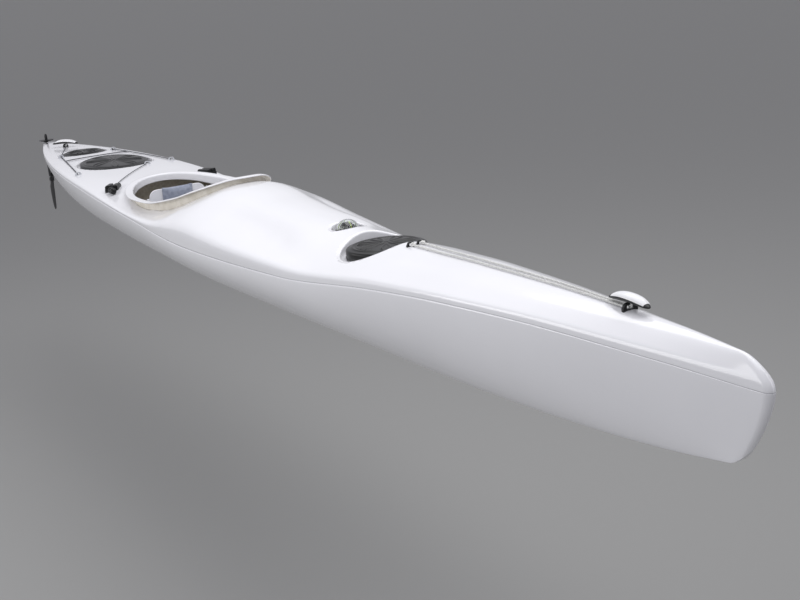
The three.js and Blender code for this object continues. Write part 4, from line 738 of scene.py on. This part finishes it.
seat_along, seat_across = np.linspace(0, 1, 80)[:, None], np.linspace(-1, 1, 121)[None, :]
round_edges(make_shell("seat_shell", seat_point(seat_along, seat_across, 0.0),
                       seat_point(seat_along, seat_across, seat_thick), [gelcoat], "seat", sharp=50), 0.0015, 50)
rest_at, rest_thick, rest_top, rest_corner_from, rest_corner_round = -0.723, 0.006, 0.246, 0.080, 0.030
rest_across = np.linspace(-0.46, 0.46, 61)
rest_foot = seat_point((rest_at - seat_back) / (seat_front - seat_back), rest_across, seat_thick / 2)
rest_corner = np.clip((np.abs(rest_foot[:, 1]) - rest_corner_from) / rest_corner_round, 0, 1)
rest_up = rest_top - rest_corner_round * (1 - np.sqrt(1 - rest_corner ** 2))
rest_tall = np.maximum(rest_up, rest_foot[:, 2] + 0.001) - rest_foot[:, 2]
rest_front, rest_behind = (
    np.stack([np.stack([np.full_like(rest_tall, x), rest_foot[:, 1], rest_foot[:, 2] + rest_tall * share], -1)
              for share in np.linspace(0, 1, 24)]) for x in (rest_at + rest_thick / 2, rest_at - rest_thick / 2))
round_edges(make_shell("seat_back_rest", rest_front, rest_behind, [gelcoat], sharp=50), 0.002, 50)
# The cover's blue grey is partly the pads' cloth and partly painted shade of the seat's base.
cover_cloth_and_shade = new_finish("woven blue grey pad cover with painted shade", "#8A90A0", 0.85, ("#828898", "#9298A8", 0.012),
                         Sheen_Weight=0.3, Sheen_Roughness=0.5)
cloth_tree = cover_cloth_and_shade.node_tree
# The weave is drawn with 4.5 mm between its threads, coarser than a real one, so that it shows.
weave_spacing, weave_relief = 0.004488, 0.0003
cloth_place = add_node(cloth_tree, "ShaderNodeTexCoord").outputs["Object"]
warp, weft = (add_node(cloth_tree, "ShaderNodeTexWave",
                       {"Scale": math.pi / 10 / weave_spacing, "bands_direction": way},
                       {"Vector": cloth_place}).outputs["Fac"] for way in "XY")
weave = add_node(cloth_tree, "ShaderNodeMath", {"operation": "MULTIPLY"}, {0: warp, 1: weft})
weave_bump = add_node(cloth_tree, "ShaderNodeBump", {"Distance": weave_relief}, {"Height": weave.outputs[0]})
cloth_tree.links.new(weave_bump.outputs["Normal"], cloth_tree.nodes["Principled BSDF"].inputs["Normal"])
pad_voxel, pad_drawn_in, pad_pressure, pad_steps = 0.004, 0.001, 4, 20
held_within, held_over = 0.003, 0.006
seat_mesh = frame["nodes"]["seat"].data
seat_tree = BVHTree.FromPolygons([vertex.co for vertex in seat_mesh.vertices],
                                 [tuple(polygon.vertices) for polygon in seat_mesh.polygons])


def baked(piece):
    """A new mesh of a piece as its modifiers leave it."""
    return bpy.data.meshes.new_from_object(piece.evaluated_get(bpy.context.evaluated_depsgraph_get()))


def swell_pad(node, cap):
    """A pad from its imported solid: remeshed at 4 mm, drawn in a little, blown up by cloth pressure, and each
    point's move held to a cap, and to none where the pad lies on the seat."""
    work = weld(frame["nodes"][node].data)
    mesh = bpy.data.meshes.new(f"{node}_cushion")
    work.to_mesh(mesh)
    work.free()
    pad = add_object(f"{node}_cushion", mesh)
    remesh = pad.modifiers.new("remesh", "REMESH")
    remesh.mode, remesh.voxel_size = "VOXEL", pad_voxel
    pad.data = baked(pad)
    pad.modifiers.clear()
    count = len(pad.data.vertices)
    start = np.empty(count * 3)
    pad.data.vertices.foreach_get("co", start)
    normals = np.array([tuple(vertex.normal) for vertex in pad.data.vertices])
    start = start.reshape(-1, 3) - pad_drawn_in * normals
    pad.data.vertices.foreach_set("co", start.ravel())
    away = np.array([seat_tree.find_nearest(Vector(point))[3] for point in start])
    moved = start
    cloth = pad.modifiers.new("swell", "CLOTH")
    cloth.settings.use_pressure = True
    cloth.settings.uniform_pressure_force = pad_pressure
    cloth.settings.effector_weights.gravity = 0
    for step in range(1, pad_steps + 1):
        bpy.context.scene.frame_set(step)
    blown = pad.evaluated_get(bpy.context.evaluated_depsgraph_get()).to_mesh()
    moved = np.array([tuple(vertex.co) for vertex in blown.vertices])
    pad.modifiers.clear()
    bpy.context.scene.frame_set(1)
    move = moved - start
    far = np.linalg.norm(move, axis=1, keepdims=True)
    held = np.clip((away - held_within) / held_over, 0, 1)[:, None]
    end = start + move * np.minimum(1, cap / np.maximum(far, 1e-9)) * held
    pad.data.vertices.foreach_set("co", end.ravel())
    pad.data.materials.clear()
    pad.data.materials.append(cover_cloth_and_shade)
    pad.data.shade_smooth()
    pad.data.update()
    smoothing = pad.modifiers.new("smoothing", "SUBSURF")
    smoothing.levels = smoothing.render_levels = 1
    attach(pad, "root")
    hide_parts(node)


for pad_name, swelling in (("seat_pad", 0.005), ("back_pad", 0.005), ("hip_pad_port", 0.004),
                           ("hip_pad_starboard", 0.004)):
    swell_pad(pad_name, swelling)


# Compass: a black bowl in the deck's well, a conical card that turns with white marks, and a clear dome.
# Four yellow lubber lines stand round the card.
def make_turned(name, profile, middle, finish, body, replaced=None, count=96, axis="z", closed=False,
                sharp=35):
    """A body turned about an axis through middle: a profile of [radius, height] gives the rings
    (radius cos(turn), radius sin(turn), height), with its last row joined to its first if closed."""
    radius, height = (column[:, None] for column in np.array(profile, float).T)
    turn = np.linspace(0, 2 * math.pi, count, endpoint=False)[None, :]
    ring = [radius * np.cos(turn), radius * np.sin(turn), np.broadcast_to(height, (len(profile), count))]
    order = {"z": (0, 1, 2), "x": (2, 0, 1), "y": (1, 2, 0)}[axis]
    points = np.stack([ring[k] for k in order], -1) + np.array(middle)
    return make_piece(name, points, grid_quads(len(profile), count, closed, True), finish, body, replaced,
                      None, sharp)


compass_middle = (compass_x, 0, 0)
bowl_low, bowl_high = compass_low.z, compass_high.z
bowl_profile = [(0.0001, bowl_low), (0.0363, bowl_low), (0.037, bowl_low + 0.0008), (0.037, bowl_high - 0.0048),
                (0.0363, bowl_high - 0.0038), (0.0343, bowl_high - 0.0012), (0.033, bowl_high - 0.0003),
                (0.0322, bowl_high), (0.0277, bowl_high), (0.027, bowl_high - 0.0008), (0.027, bowl_low + 0.0045),
                (0.0265, bowl_low + 0.004), (0.003, bowl_low + 0.004), (0.0015, bowl_low + 0.0097),
                (0.0001, bowl_low + 0.0097)]
make_turned("compass_bowl", bowl_profile, compass_middle, black_plastic, "root", "compass_housing")
card_black = new_finish("black printed compass card", "#131416", 0.45, ("#101113", "#17181B", 0.005),
                        (0.0005, 0.00001))
mark_white = new_finish("white printed marks", "#E8E8E4", 0.5, ("#E2E2DE", "#EEEEEA", 0.004), (0.0004, 0.000005))
card_low, card_high = (corner.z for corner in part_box("compass_card"))
skirt_low, skirt_high, skirt_out, skirt_in = card_high - 0.0004, card_high + 0.0115, 0.0237, 0.0170
crown_turns = np.radians(np.linspace(8, 90, 9))
card_profile = [(0.0001, card_low), (0.0235, card_low), (0.024, card_low + 0.0004), (0.024, skirt_low),
                (skirt_out, skirt_low + 0.0002), (skirt_in, skirt_high)]
card_profile += [(skirt_in * math.cos(a) + 0.0001, skirt_high + 0.007 * math.sin(a)) for a in crown_turns]
make_turned("compass_card_skirt", card_profile, compass_middle, card_black, "card", "compass_card")


def on_skirt(turn, along, up):
    """A place on the card's cone: along it in metres to the left of a turn, and a share of the way up it."""
    radius = skirt_out + (skirt_in - skirt_out) * up
    slope = np.array([skirt_high - skirt_low, skirt_out - skirt_in])
    out, rise = slope / np.linalg.norm(slope)
    angle = turn + along / radius
    radius = radius + mark_lift * out
    return (compass_x + radius * math.cos(angle), radius * math.sin(angle),
            skirt_low + (skirt_high - skirt_low) * up + mark_lift * rise)


mark_lift, letter_size, letter_foot, skirt_slant = 0.00012, 0.0080, 0.34, 0.0138
mark_points, mark_faces = [], []
for tick in range(72):
    tick_turn = math.radians(5 * tick)
    tick_half, tick_top = (0.0004, 0.24) if tick % 2 == 0 else (0.00025, 0.16)
    corners = [(-tick_half, 0.04), (tick_half, 0.04), (tick_half, tick_top), (-tick_half, tick_top)]
    mark_faces.append([len(mark_points) + k for k in range(4)])
    mark_points += [on_skirt(tick_turn, along, up) for along, up in corners]
for k, word in enumerate(("N", "3", "6", "E", "12", "15", "S", "21", "24", "W", "30", "33")):
    letters = bpy.data.curves.new(f"bearing_{k}", "FONT")
    letters.body, letters.align_x, letters.size = word, "CENTER", letter_size
    words = add_object(f"bearing_{k}", letters)
    flat = baked(words)
    first = len(mark_points)
    mark_faces += [[first + corner for corner in polygon.vertices] for polygon in flat.polygons]
    mark_points += [on_skirt(math.radians(30 * k), vertex.co.x, letter_foot + vertex.co.y / skirt_slant)
                    for vertex in flat.vertices]
    bpy.data.objects.remove(words)
    bpy.data.meshes.remove(flat)
add_mesh("compass_card_marks", mark_points, mark_faces, mark_white, "card")
acrylic = new_finish("clear cast acrylic", "#F4F7F6", 0.03, grain=(0.004, 0.000003), IOR=1.49,
                     Transmission_Weight=1.0)
dome_foot = bowl_high + fit_gap
dome_turns = np.linspace(0, math.pi / 2, 22)[:-1]
dome_outer, dome_inner = ([(reach * math.cos(a), dome_foot + rise * math.sin(a)) for a in dome_turns]
                          + [(0.0001, dome_foot + rise)] for reach, rise in ((0.032, 0.026), (0.029, 0.024)))
make_turned("compass_dome_glass", dome_outer + dome_inner[::-1], compass_middle, acrylic, "root", "compass_dome",
            closed=True, sharp=60)
lubber_paint = new_finish("yellow green lubber line", "#B7D13A", 0.4, ("#B0CA34", "#BED842", 0.003),
                          (0.0006, 0.00001))


def close_ends(grid):
    """A grid of rings with a row more at each end, where the ring is drawn together at its middle."""
    first, last = (np.repeat(grid[k].mean(0)[None, None], grid.shape[1], 1) for k in (0, -1))
    return np.concatenate([first, grid, last])


lubber_arc = np.radians(np.linspace(2, 62, 20))
lubber_in, lubber_out, lubber_half, lubber_drop = 0.0276, 0.0284, 0.0011, 0.005
lubber_section = ((lubber_in, -lubber_half), (lubber_in, lubber_half), (lubber_out, lubber_half),
                  (lubber_out, -lubber_half))
for quarter, quarter_name in enumerate(("bow", "port", "stern", "starboard")):
    turn = quarter * math.pi / 2
    along = np.array([math.cos(turn), math.sin(turn), 0])
    across = np.array([-math.sin(turn), math.cos(turn), 0])
    strip = close_ends(np.array(
        [[compass_middle + along * reach * math.cos(a) + across * half
          + np.array([0, 0, dome_foot + (reach - lubber_drop) * math.sin(a)]) for reach, half in lubber_section]
         for a in lubber_arc]))
    make_piece(f"lubber_line_{quarter_name}", strip, grid_quads(len(strip), 4, False, True), lubber_paint, "root",
               sharp=40)


# Carrying toggles: black arched grips with glossy white caps, each on a cord loop through a black deck eye. The
# caps' white over the grips' tops is partly a painted highlight, standing for the reflection of the lamps above.
# A grip's section at a share of its half length is an ellipse: size = sqrt(1 - share ** 6) (1 - 0.35 share ** 2).
def sweep(name, path, radius, finishes, replaced=None, sides=16, step=0.0008, closed=False,
          strands=8, pitch=0.008, relief=0.12, tracer=False):
    """A cord along a path, resampled to a step: its radius at a turn t and a length s is
    radius (1 - relief (1 - cos a cos b) / 2), with a, b = strands / 2 (t +- 2 pi s / pitch) for its braid."""
    path = np.asarray(path, float)
    if closed:
        path = np.concatenate([path, path[:1]])
    lengths = np.concatenate([[0], np.cumsum(np.linalg.norm(np.diff(path, axis=0), axis=1))])
    count = max(3, int(round(lengths[-1] / step)))
    marks = np.linspace(0, lengths[-1], count + (0 if closed else 1), endpoint=not closed)
    centre = np.stack([np.interp(marks, lengths, path[:, k]) for k in range(3)], 1)
    ahead = np.roll(centre, -1, 0) - np.roll(centre, 1, 0) if closed else np.gradient(centre, axis=0)
    ahead /= np.linalg.norm(ahead, axis=1, keepdims=True)
    side = np.cross(ahead[0], (0, 0, 1) if abs(ahead[0][2]) < 0.9 else (0, 1, 0))
    frames = []
    for direction in ahead:
        side = side - direction * (side @ direction)
        side /= np.linalg.norm(side)
        frames.append((side, np.cross(direction, side)))
    first, second = np.array([f[0] for f in frames]), np.array([f[1] for f in frames])
    turn = np.linspace(0, 2 * math.pi, sides, endpoint=False)[None, :]
    twist = 2 * math.pi * marks[:, None] / pitch
    size = radius * np.ones((len(marks), sides))
    if strands:
        half = strands / 2
        braid = np.cos(half * (turn + twist)) * np.cos(half * (turn - twist))
        size = radius * (1 - relief * (1 - braid) / 2)
    points = (centre[:, None, :] + size[..., None] * (np.cos(turn)[..., None] * first[:, None, :]
                                                      + np.sin(turn)[..., None] * second[:, None, :]))
    if not closed:
        points = close_ends(points)
    quads = grid_quads(len(points), sides, closed, True)
    chosen = None
    if tracer:
        row, column = quads[:, 0] // sides, quads[:, 0] % sides
        s = 2 * math.pi * marks[np.clip(row - 1, 0, len(marks) - 1)] / pitch
        t = turn[0][column]
        chosen = (np.cos(strands / 2 * (t + s)) > 0.35) & (np.cos(strands / 2 * (t - s)) > 0.35)
    make_piece(name, points, quads, finishes, "root", replaced, chosen)


cord_white, cord_fleck, cord_grey = (
    new_finish(name, colour, 0.75, (dark, pale, 0.004), (0.0004, 0.00006)) for name, colour, dark, pale in (
        ("white braided polyester cord", "#DFDFDC", "#D2D2CF", "#E8E8E5"),
        ("dark tracer yarn", "#3A3B40", "#34353A", "#42434A"),
        ("dark grey braided cord", "#4A4B50", "#434449", "#54555A")))
# The caps' white is partly a painted highlight: a white shell over the top of each black grip, where the lamps'
# reflection lies.
highlight_cap_white = new_finish("glossy white cap with painted highlight", "#E6E6E8", 0.18, ("#E2E2E5", "#E9E9EB", 0.05), (0.003, 0.00001),
                       IOR=1.49)
grip_half, grip_half_width, grip_half_height = 0.072, 0.015, 0.008
grip_above, grip_droop, grip_taper = 0.024, 0.009, 0.35
loop_radius, loop_half, socket_radius = 0.0025, 0.0077, 0.0108
loop_low, loop_high = 0.0051, 0.0262
cap_from, cap_to = -0.72, 0.86
cap_foot, cap_swell = 0.0009, 0.003
grip_rows, grip_sides, grip_reach = 60, 48, 0.9995


def grip_point(share, angle, grow):
    """A grip's skin at a share of its half length and an angle round it, grown by a thickness."""
    size = np.sqrt(np.maximum(1 - share ** 6, 0)) * (1 - grip_taper * share ** 2)
    return np.stack(np.broadcast_arrays(
        share * grip_half, (grip_half_width * size + grow) * np.cos(angle),
        grip_above - grip_droop * share ** 2 + (grip_half_height * size + grow) * np.sin(angle)), -1)


def carve(piece, middle, radius, low, high, axis="z"):
    """Cuts a round hole through a piece, and keeps the result as its mesh."""
    tool = make_turned("hole_tool", [(0.00001, low), (radius, low), (radius, high), (0.00001, high)], middle,
                       piece.data.materials[0], "root", count=64, axis=axis)
    hole = piece.modifiers.new("hole", "BOOLEAN")
    hole.object, hole.solver, hole.operation = tool, "EXACT", "DIFFERENCE"
    piece.data = baked(piece)
    piece.modifiers.clear()
    bpy.data.objects.remove(tool)
    piece.data.shade_smooth()
    piece.data.set_sharp_from_angle(angle=math.radians(45))


def make_toggle(end_name, x, turn):
    """The grip, cap and loop of a toggle turned about the upright through its deck eye."""
    foot = float(deck_height(x, 0.0))
    spin = np.array([[math.cos(turn), -math.sin(turn), 0], [math.sin(turn), math.cos(turn), 0], [0, 0, 1]])

    def put(points):
        return points @ spin.T + [x, 0, foot]

    lengthwise = np.sin(np.linspace(-math.pi / 2, math.pi / 2, grip_rows))[:, None] * grip_reach
    round_turn = np.linspace(0, 2 * math.pi, grip_sides, endpoint=False)[None, :]
    grip = close_ends(put(grip_point(lengthwise, round_turn, 0.0)))
    piece = make_piece(f"{end_name}_grip_body", grip, grid_quads(len(grip), grip_sides, False, True), black_plastic,
                       f"{end_name}_toggle", f"{end_name}_toggle_grip")
    carve(piece, (x, 0, 0), socket_radius, foot - 0.01, foot + 0.029)
    # The white cap covers only the grip's upper side, where the painted highlight lies.
    share = cap_from + (cap_to - cap_from) * (1 - np.cos(np.linspace(0, math.pi, 48)))[:, None] / 2
    spread = np.radians(np.linspace(18, 162, 33))[None, :]
    middle = (cap_from + cap_to) / 2
    fade = 1 - ((share - middle) / (cap_to - middle)) ** 4
    outer = put(grip_point(share, spread, cap_foot + cap_swell * fade * np.sin(spread)))
    inner = put(grip_point(share, spread, fit_gap))
    make_shell(f"{end_name}_highlight_cap_shell", outer, inner, [highlight_cap_white], f"{end_name}_toggle_cap", sharp=50,
               body=f"{end_name}_toggle")
    angles = np.linspace(0, math.pi, 16)
    along = np.concatenate([loop_half * np.cos(angles), -loop_half * np.cos(angles)])
    up = np.concatenate([loop_high - loop_half + loop_half * np.sin(angles),
                         loop_low + loop_half - loop_half * np.sin(angles)])
    sweep(f"{end_name}_loop_cord", put(np.stack([along, 0 * along, up], -1)), loop_radius, cord_white,
          f"{end_name}_toggle_loop", sides=20, step=0.0006, closed=True, pitch=0.010)
    soften(f"{end_name}_deck_eye", black_plastic, 0.0014)


bow_toggle_x, stern_toggle_x = 0.8358 * half_length, -0.8741 * half_length
make_toggle("bow", bow_toggle_x, 0.0)
make_toggle("stern", stern_toggle_x, math.radians(40))


# Deck lines: a white braid with dark tracer flecks each side of the foredeck, from a knot by the hatch to the
# bow eye. Thin grey cords lie along and across the aft deck between small eyes.
def on_deck(x, y, up):
    """Points a height above the deck over places."""
    x, y = np.broadcast_arrays(np.asarray(x, float), np.asarray(y, float))
    return np.stack([x, y, deck_height(x, y) + up], -1)


fore_line_x, fore_line_half = 0.478 * half_length, 0.0145
knot_x = fore_line_x + 0.0118
fore_line_end = bow_toggle_x - 0.008 - loop_half
soften("fore_line_fitting", black_plastic, 0.0014)
knot_turn = np.linspace(0, 2 * math.pi, 120, endpoint=False)
for side_name, side in sides_of_boat:
    route_share = np.linspace(0, 1, 120)
    route = on_deck(knot_x + (fore_line_end - knot_x) * route_share,
                    side * (fore_line_half + (0.0042 - fore_line_half) * route_share), 0.0042)
    sweep(f"fore_line_{side_name}_braid", route, 0.003, [cord_white, cord_fleck], f"fore_deck_line_{side_name}",
          sides=24, step=0.00062, pitch=0.013, tracer=True)
    knot = np.stack([(2 + np.cos(3 * knot_turn)) * np.cos(2 * knot_turn),
                     (2 + np.cos(3 * knot_turn)) * np.sin(2 * knot_turn), 1.6 * np.sin(3 * knot_turn)], -1)
    knot = knot * 0.00175 + on_deck(knot_x, side * fore_line_half, 0.0052)
    sweep(f"fore_knot_{side_name}", knot, 0.0026, cord_white, step=0.0007, closed=True, pitch=0.010)
small_grey = new_finish("pale grey moulded nylon", "#B4B6BB", 0.4, ("#ADAFB4", "#BCBEC3", 0.01), (0.0007, 0.00003))
aft_front, aft_back = (-0.511 * half_length, 0.755 * half_beam), (-0.73 * half_length, 0.453 * half_beam)
for side_name, side in sides_of_boat:
    for place_name in ("front", "back"):
        soften(f"aft_eye_{side_name}_{place_name}", small_grey, 0.001)
    route_share = np.linspace(0, 1, 90)
    route = on_deck(aft_front[0] - 0.0055 + (aft_back[0] - aft_front[0] + 0.011) * route_share,
                    side * (aft_front[1] + (aft_back[1] - aft_front[1]) * route_share), 0.0032)
    sweep(f"aft_cord_{side_name}_braid", route, 0.002, cord_grey, f"aft_deck_cord_{side_name}")
cross_x = hatch_sizes["day"]["x"] - hatch_sizes["day"]["half_x"] - 0.014 - 0.033
cross_share = (cross_x - aft_front[0]) / (aft_back[0] - aft_front[0])
cross_half = aft_front[1] + (aft_back[1] - aft_front[1]) * cross_share - 0.0032
sweep("aft_cross_braid", on_deck(cross_x, np.linspace(-cross_half, cross_half, 80), 0.0032), 0.002, cord_grey,
      "aft_cross_cord")
stern_share, stern_cord_x = np.linspace(0, 1, 80), stern_toggle_x + 0.020
stern_cord = on_deck(stern_cord_x + (aft_back[0] - 0.0065 - stern_cord_x) * stern_share,
                     -0.004 + (0.004 - aft_back[1]) * stern_share, 0.0026)
sweep("stern_cord_braid", stern_cord, 0.0018, cord_grey, sides=14)

# Cleats behind the cockpit, with a thin line from a rubber bow tie through the starboard one to a small eye.
# The line's far end lies on the deck between the cockpit and the day hatch.
cleat_x, cleat_y, cleat_turn = coaming_back + 0.027, 0.717 * half_beam, math.radians(32)
for cleat_name in ("cleat_port", "cleat_starboard"):
    soften(cleat_name, black_plastic, 0.0012)
soften("cleat_line_eye", small_grey, 0.001)
heading = np.array([-math.cos(cleat_turn), math.sin(cleat_turn)])
bead_x, bead_y = cleat_x - heading[0] * 0.041 + 0.026, -cleat_y - heading[1] * 0.041
bead_z = float(deck_height(bead_x, bead_y)) + 0.0132
bead_profile = [(0.0001, -0.026), (0.0055, -0.026), (0.0066, -0.0255), (0.0112, -0.0200), (0.012, -0.0182),
                (0.012, -0.0095), (0.0113, -0.0080), (0.0058, -0.0016), (0.005, 0)]
bead_profile += [(radius, -along) for radius, along in bead_profile[-2::-1]]
make_turned("bow_tie", bead_profile, (bead_x, bead_y, bead_z), rubber, "root", "line_toggle", 64, "x",
            sharp=70)
line_eye_x, line_eye_y = hatch_sizes["day"]["x"] + hatch_sizes["day"]["half_x"] + 0.015, 0.075
over_cleat = np.array([[cleat_x + heading[0] * along, -cleat_y + heading[1] * along,
                        float(deck_height(cleat_x, cleat_y)) + 0.0109] for along in (-0.029, 0, 0.029)])
lay_share = np.linspace(0.2, 1, 60)
to_eye = on_deck(cleat_x + (line_eye_x + 0.007 - cleat_x) * lay_share,
                 -cleat_y + (line_eye_y - 0.007 + cleat_y) * lay_share, 0.0027)
thin_path = np.concatenate([[[bead_x - 0.0275, bead_y, bead_z]], over_cleat, to_eye])
sweep("cleat_line_braid", thin_path, 0.0015, cord_grey, "cleat_line", sides=14, pitch=0.006)

# Rudder: a black bracket and stock on a pin, a grooved quadrant with two wires, and a lifting blade.
# The blade's section at a height is a foil: y = t / 2 sqrt(s) (1 - s ** 2.2) / 0.727 from lead to trail.
rudder_x, pivot_back, pivot_z = -half_length - 0.040, 0.010, 0.066
for rudder_name in ("rudder_bracket", "rudder_stock"):
    soften(rudder_name, black_plastic, 0.0012)
soften("rudder_pivot_bolt", steel, 0.0006)
quadrant_low, quadrant_high = (corner.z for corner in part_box("rudder_quadrant"))
make_turned("rudder_quadrant_disc", [(0.0043, quadrant_low), (0.0355, quadrant_low), (0.036, quadrant_low + 0.0003),
                                     (0.036, quadrant_low + 0.0005), (0.0345, quadrant_low + 0.0014),
                                     (0.0345, quadrant_high - 0.0014), (0.036, quadrant_high - 0.0005),
                                     (0.036, quadrant_high - 0.0003), (0.0355, quadrant_high),
                                     (0.0043, quadrant_high)],
            (rudder_x, 0, 0), black_plastic, "rudder", "rudder_quadrant", closed=True)
pin_low, pin_high = (corner.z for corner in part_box("rudder_pin"))
knob_foot = quadrant_high + fit_gap
make_turned("rudder_pin_knob", [(0.0001, pin_low), (0.0037, pin_low), (0.004, pin_low + 0.0003),
                                (0.004, knob_foot), (0.0066, knob_foot), (0.007, knob_foot + 0.0004),
                                (0.007, pin_high - 0.015), (0.0068, pin_high - 0.0135), (0.0062, pin_high - 0.0085),
                                (0.0050, pin_high - 0.0030), (0.0035, pin_high - 0.0008), (0.0018, pin_high),
                                (0.0001, pin_high)],
            (rudder_x, 0, 0), black_plastic, "rudder", "rudder_pin", 48)
blade_shares = [[-0.168, -0.0220, -0.0235], [-0.1665, -0.0110, -0.0310], [-0.156, 0.0058, -0.0434],
                [-0.111, 0.0165, -0.0583], [-0.0605, 0.024, -0.062], [-0.030, 0.0235, -0.0372],
                [0.0, 0.020, -0.024], [0.0141, 0.0141, -0.0141], [0.0195, 0.0045, -0.0045], [0.020, 0.0012, -0.0012]]
blade_z = np.concatenate([np.linspace(-0.168, -0.160, 14), np.linspace(-0.158, 0.012, 60),
                          0.020 * np.sin(np.linspace(math.radians(40), math.pi / 2, 16))])
lead = follow([[z, front] for z, front, _ in blade_shares], blade_z)
trail = follow([[z, back] for z, _, back in blade_shares], blade_z)
thick = 0.0078 * follow([[-0.168, 0.25], [-0.15, 0.5], [-0.06, 0.85], [-0.02, 1], [0.02, 1]], blade_z)
foil_turn = np.linspace(0, 2 * math.pi, 48, endpoint=False)
foil_share = (1 - np.cos(foil_turn)) / 2
flatness = np.clip((blade_z + 0.045) / 0.03, 0, 1)[:, None]
foil_y = np.sqrt(foil_share) * (1 - foil_share ** 2.2) / 0.727
slab_y = (1 - np.abs(2 * foil_share - 1) ** 8) ** 0.5
blade_y = np.sign(np.sin(foil_turn)) * (foil_y * (1 - flatness) + slab_y * flatness) * thick[:, None] / 2
blade_x = lead[:, None] + (trail - lead)[:, None] * foil_share
blade_grid = np.stack([rudder_x - pivot_back + blade_x, blade_y,
                       pivot_z + np.broadcast_to(blade_z[:, None], blade_x.shape)], -1)
blade_grid = close_ends(blade_grid)
blade_piece = make_piece("rudder_blade_foil", blade_grid, grid_quads(len(blade_grid), 48, False, True),
                         black_plastic, "blade", "rudder_blade")
carve(blade_piece, (rudder_x - pivot_back, 0, pivot_z), 0.0043, -0.01, 0.01, "y")

# Rudder wires from the quadrant to the conduits, which run through the stern and along the hull to the pedals.
# Each conduit is a black tube that opens on the deck just ahead of the stern.
conduit_mouth_x, mouth_half = -half_length + 0.052, 0.026
hold_from = -half_length + 0.150
for side_name, side in sides_of_boat:
    dip = np.array([[conduit_mouth_x + forward, side * mouth_half,
                     float(deck_height(conduit_mouth_x + forward, mouth_half)) + up]
                    for forward, up in ((0, 0.0045), (0.030, 0.0027), (0.056, -0.009))])
    run_x = np.linspace(hold_from + 0.012, 0.430, 9)
    run_line = boat_lines(run_x / half_length)
    run = np.stack([run_x, side * (run_line["beam"] - 0.016), run_line["seam"] - 0.026], 1)
    knots = np.concatenate([dip, run])
    at = np.concatenate([[0], np.cumsum(np.linalg.norm(np.diff(knots, axis=0), axis=1))])
    fine = np.linspace(0, at[-1], 400)
    tube = np.stack([follow(np.stack([at, knots[:, k]], 1), fine) for k in range(3)], 1)
    sweep(f"rudder_conduit_{side_name}_tube", tube, 0.003, black_plastic, f"rudder_conduit_{side_name}",
          step=0.006, strands=0)
    wire = [(rudder_x, side * 0.0373, (quadrant_low + quadrant_high) / 2), tuple(dip[0] - [0.0006, 0, 0])]
    sweep(f"rudder_wire_{side_name}", wire, 0.001, steel, f"rudder_line_{side_name}", sides=12,
          step=0.0006, strands=6, pitch=0.006, relief=0.2)
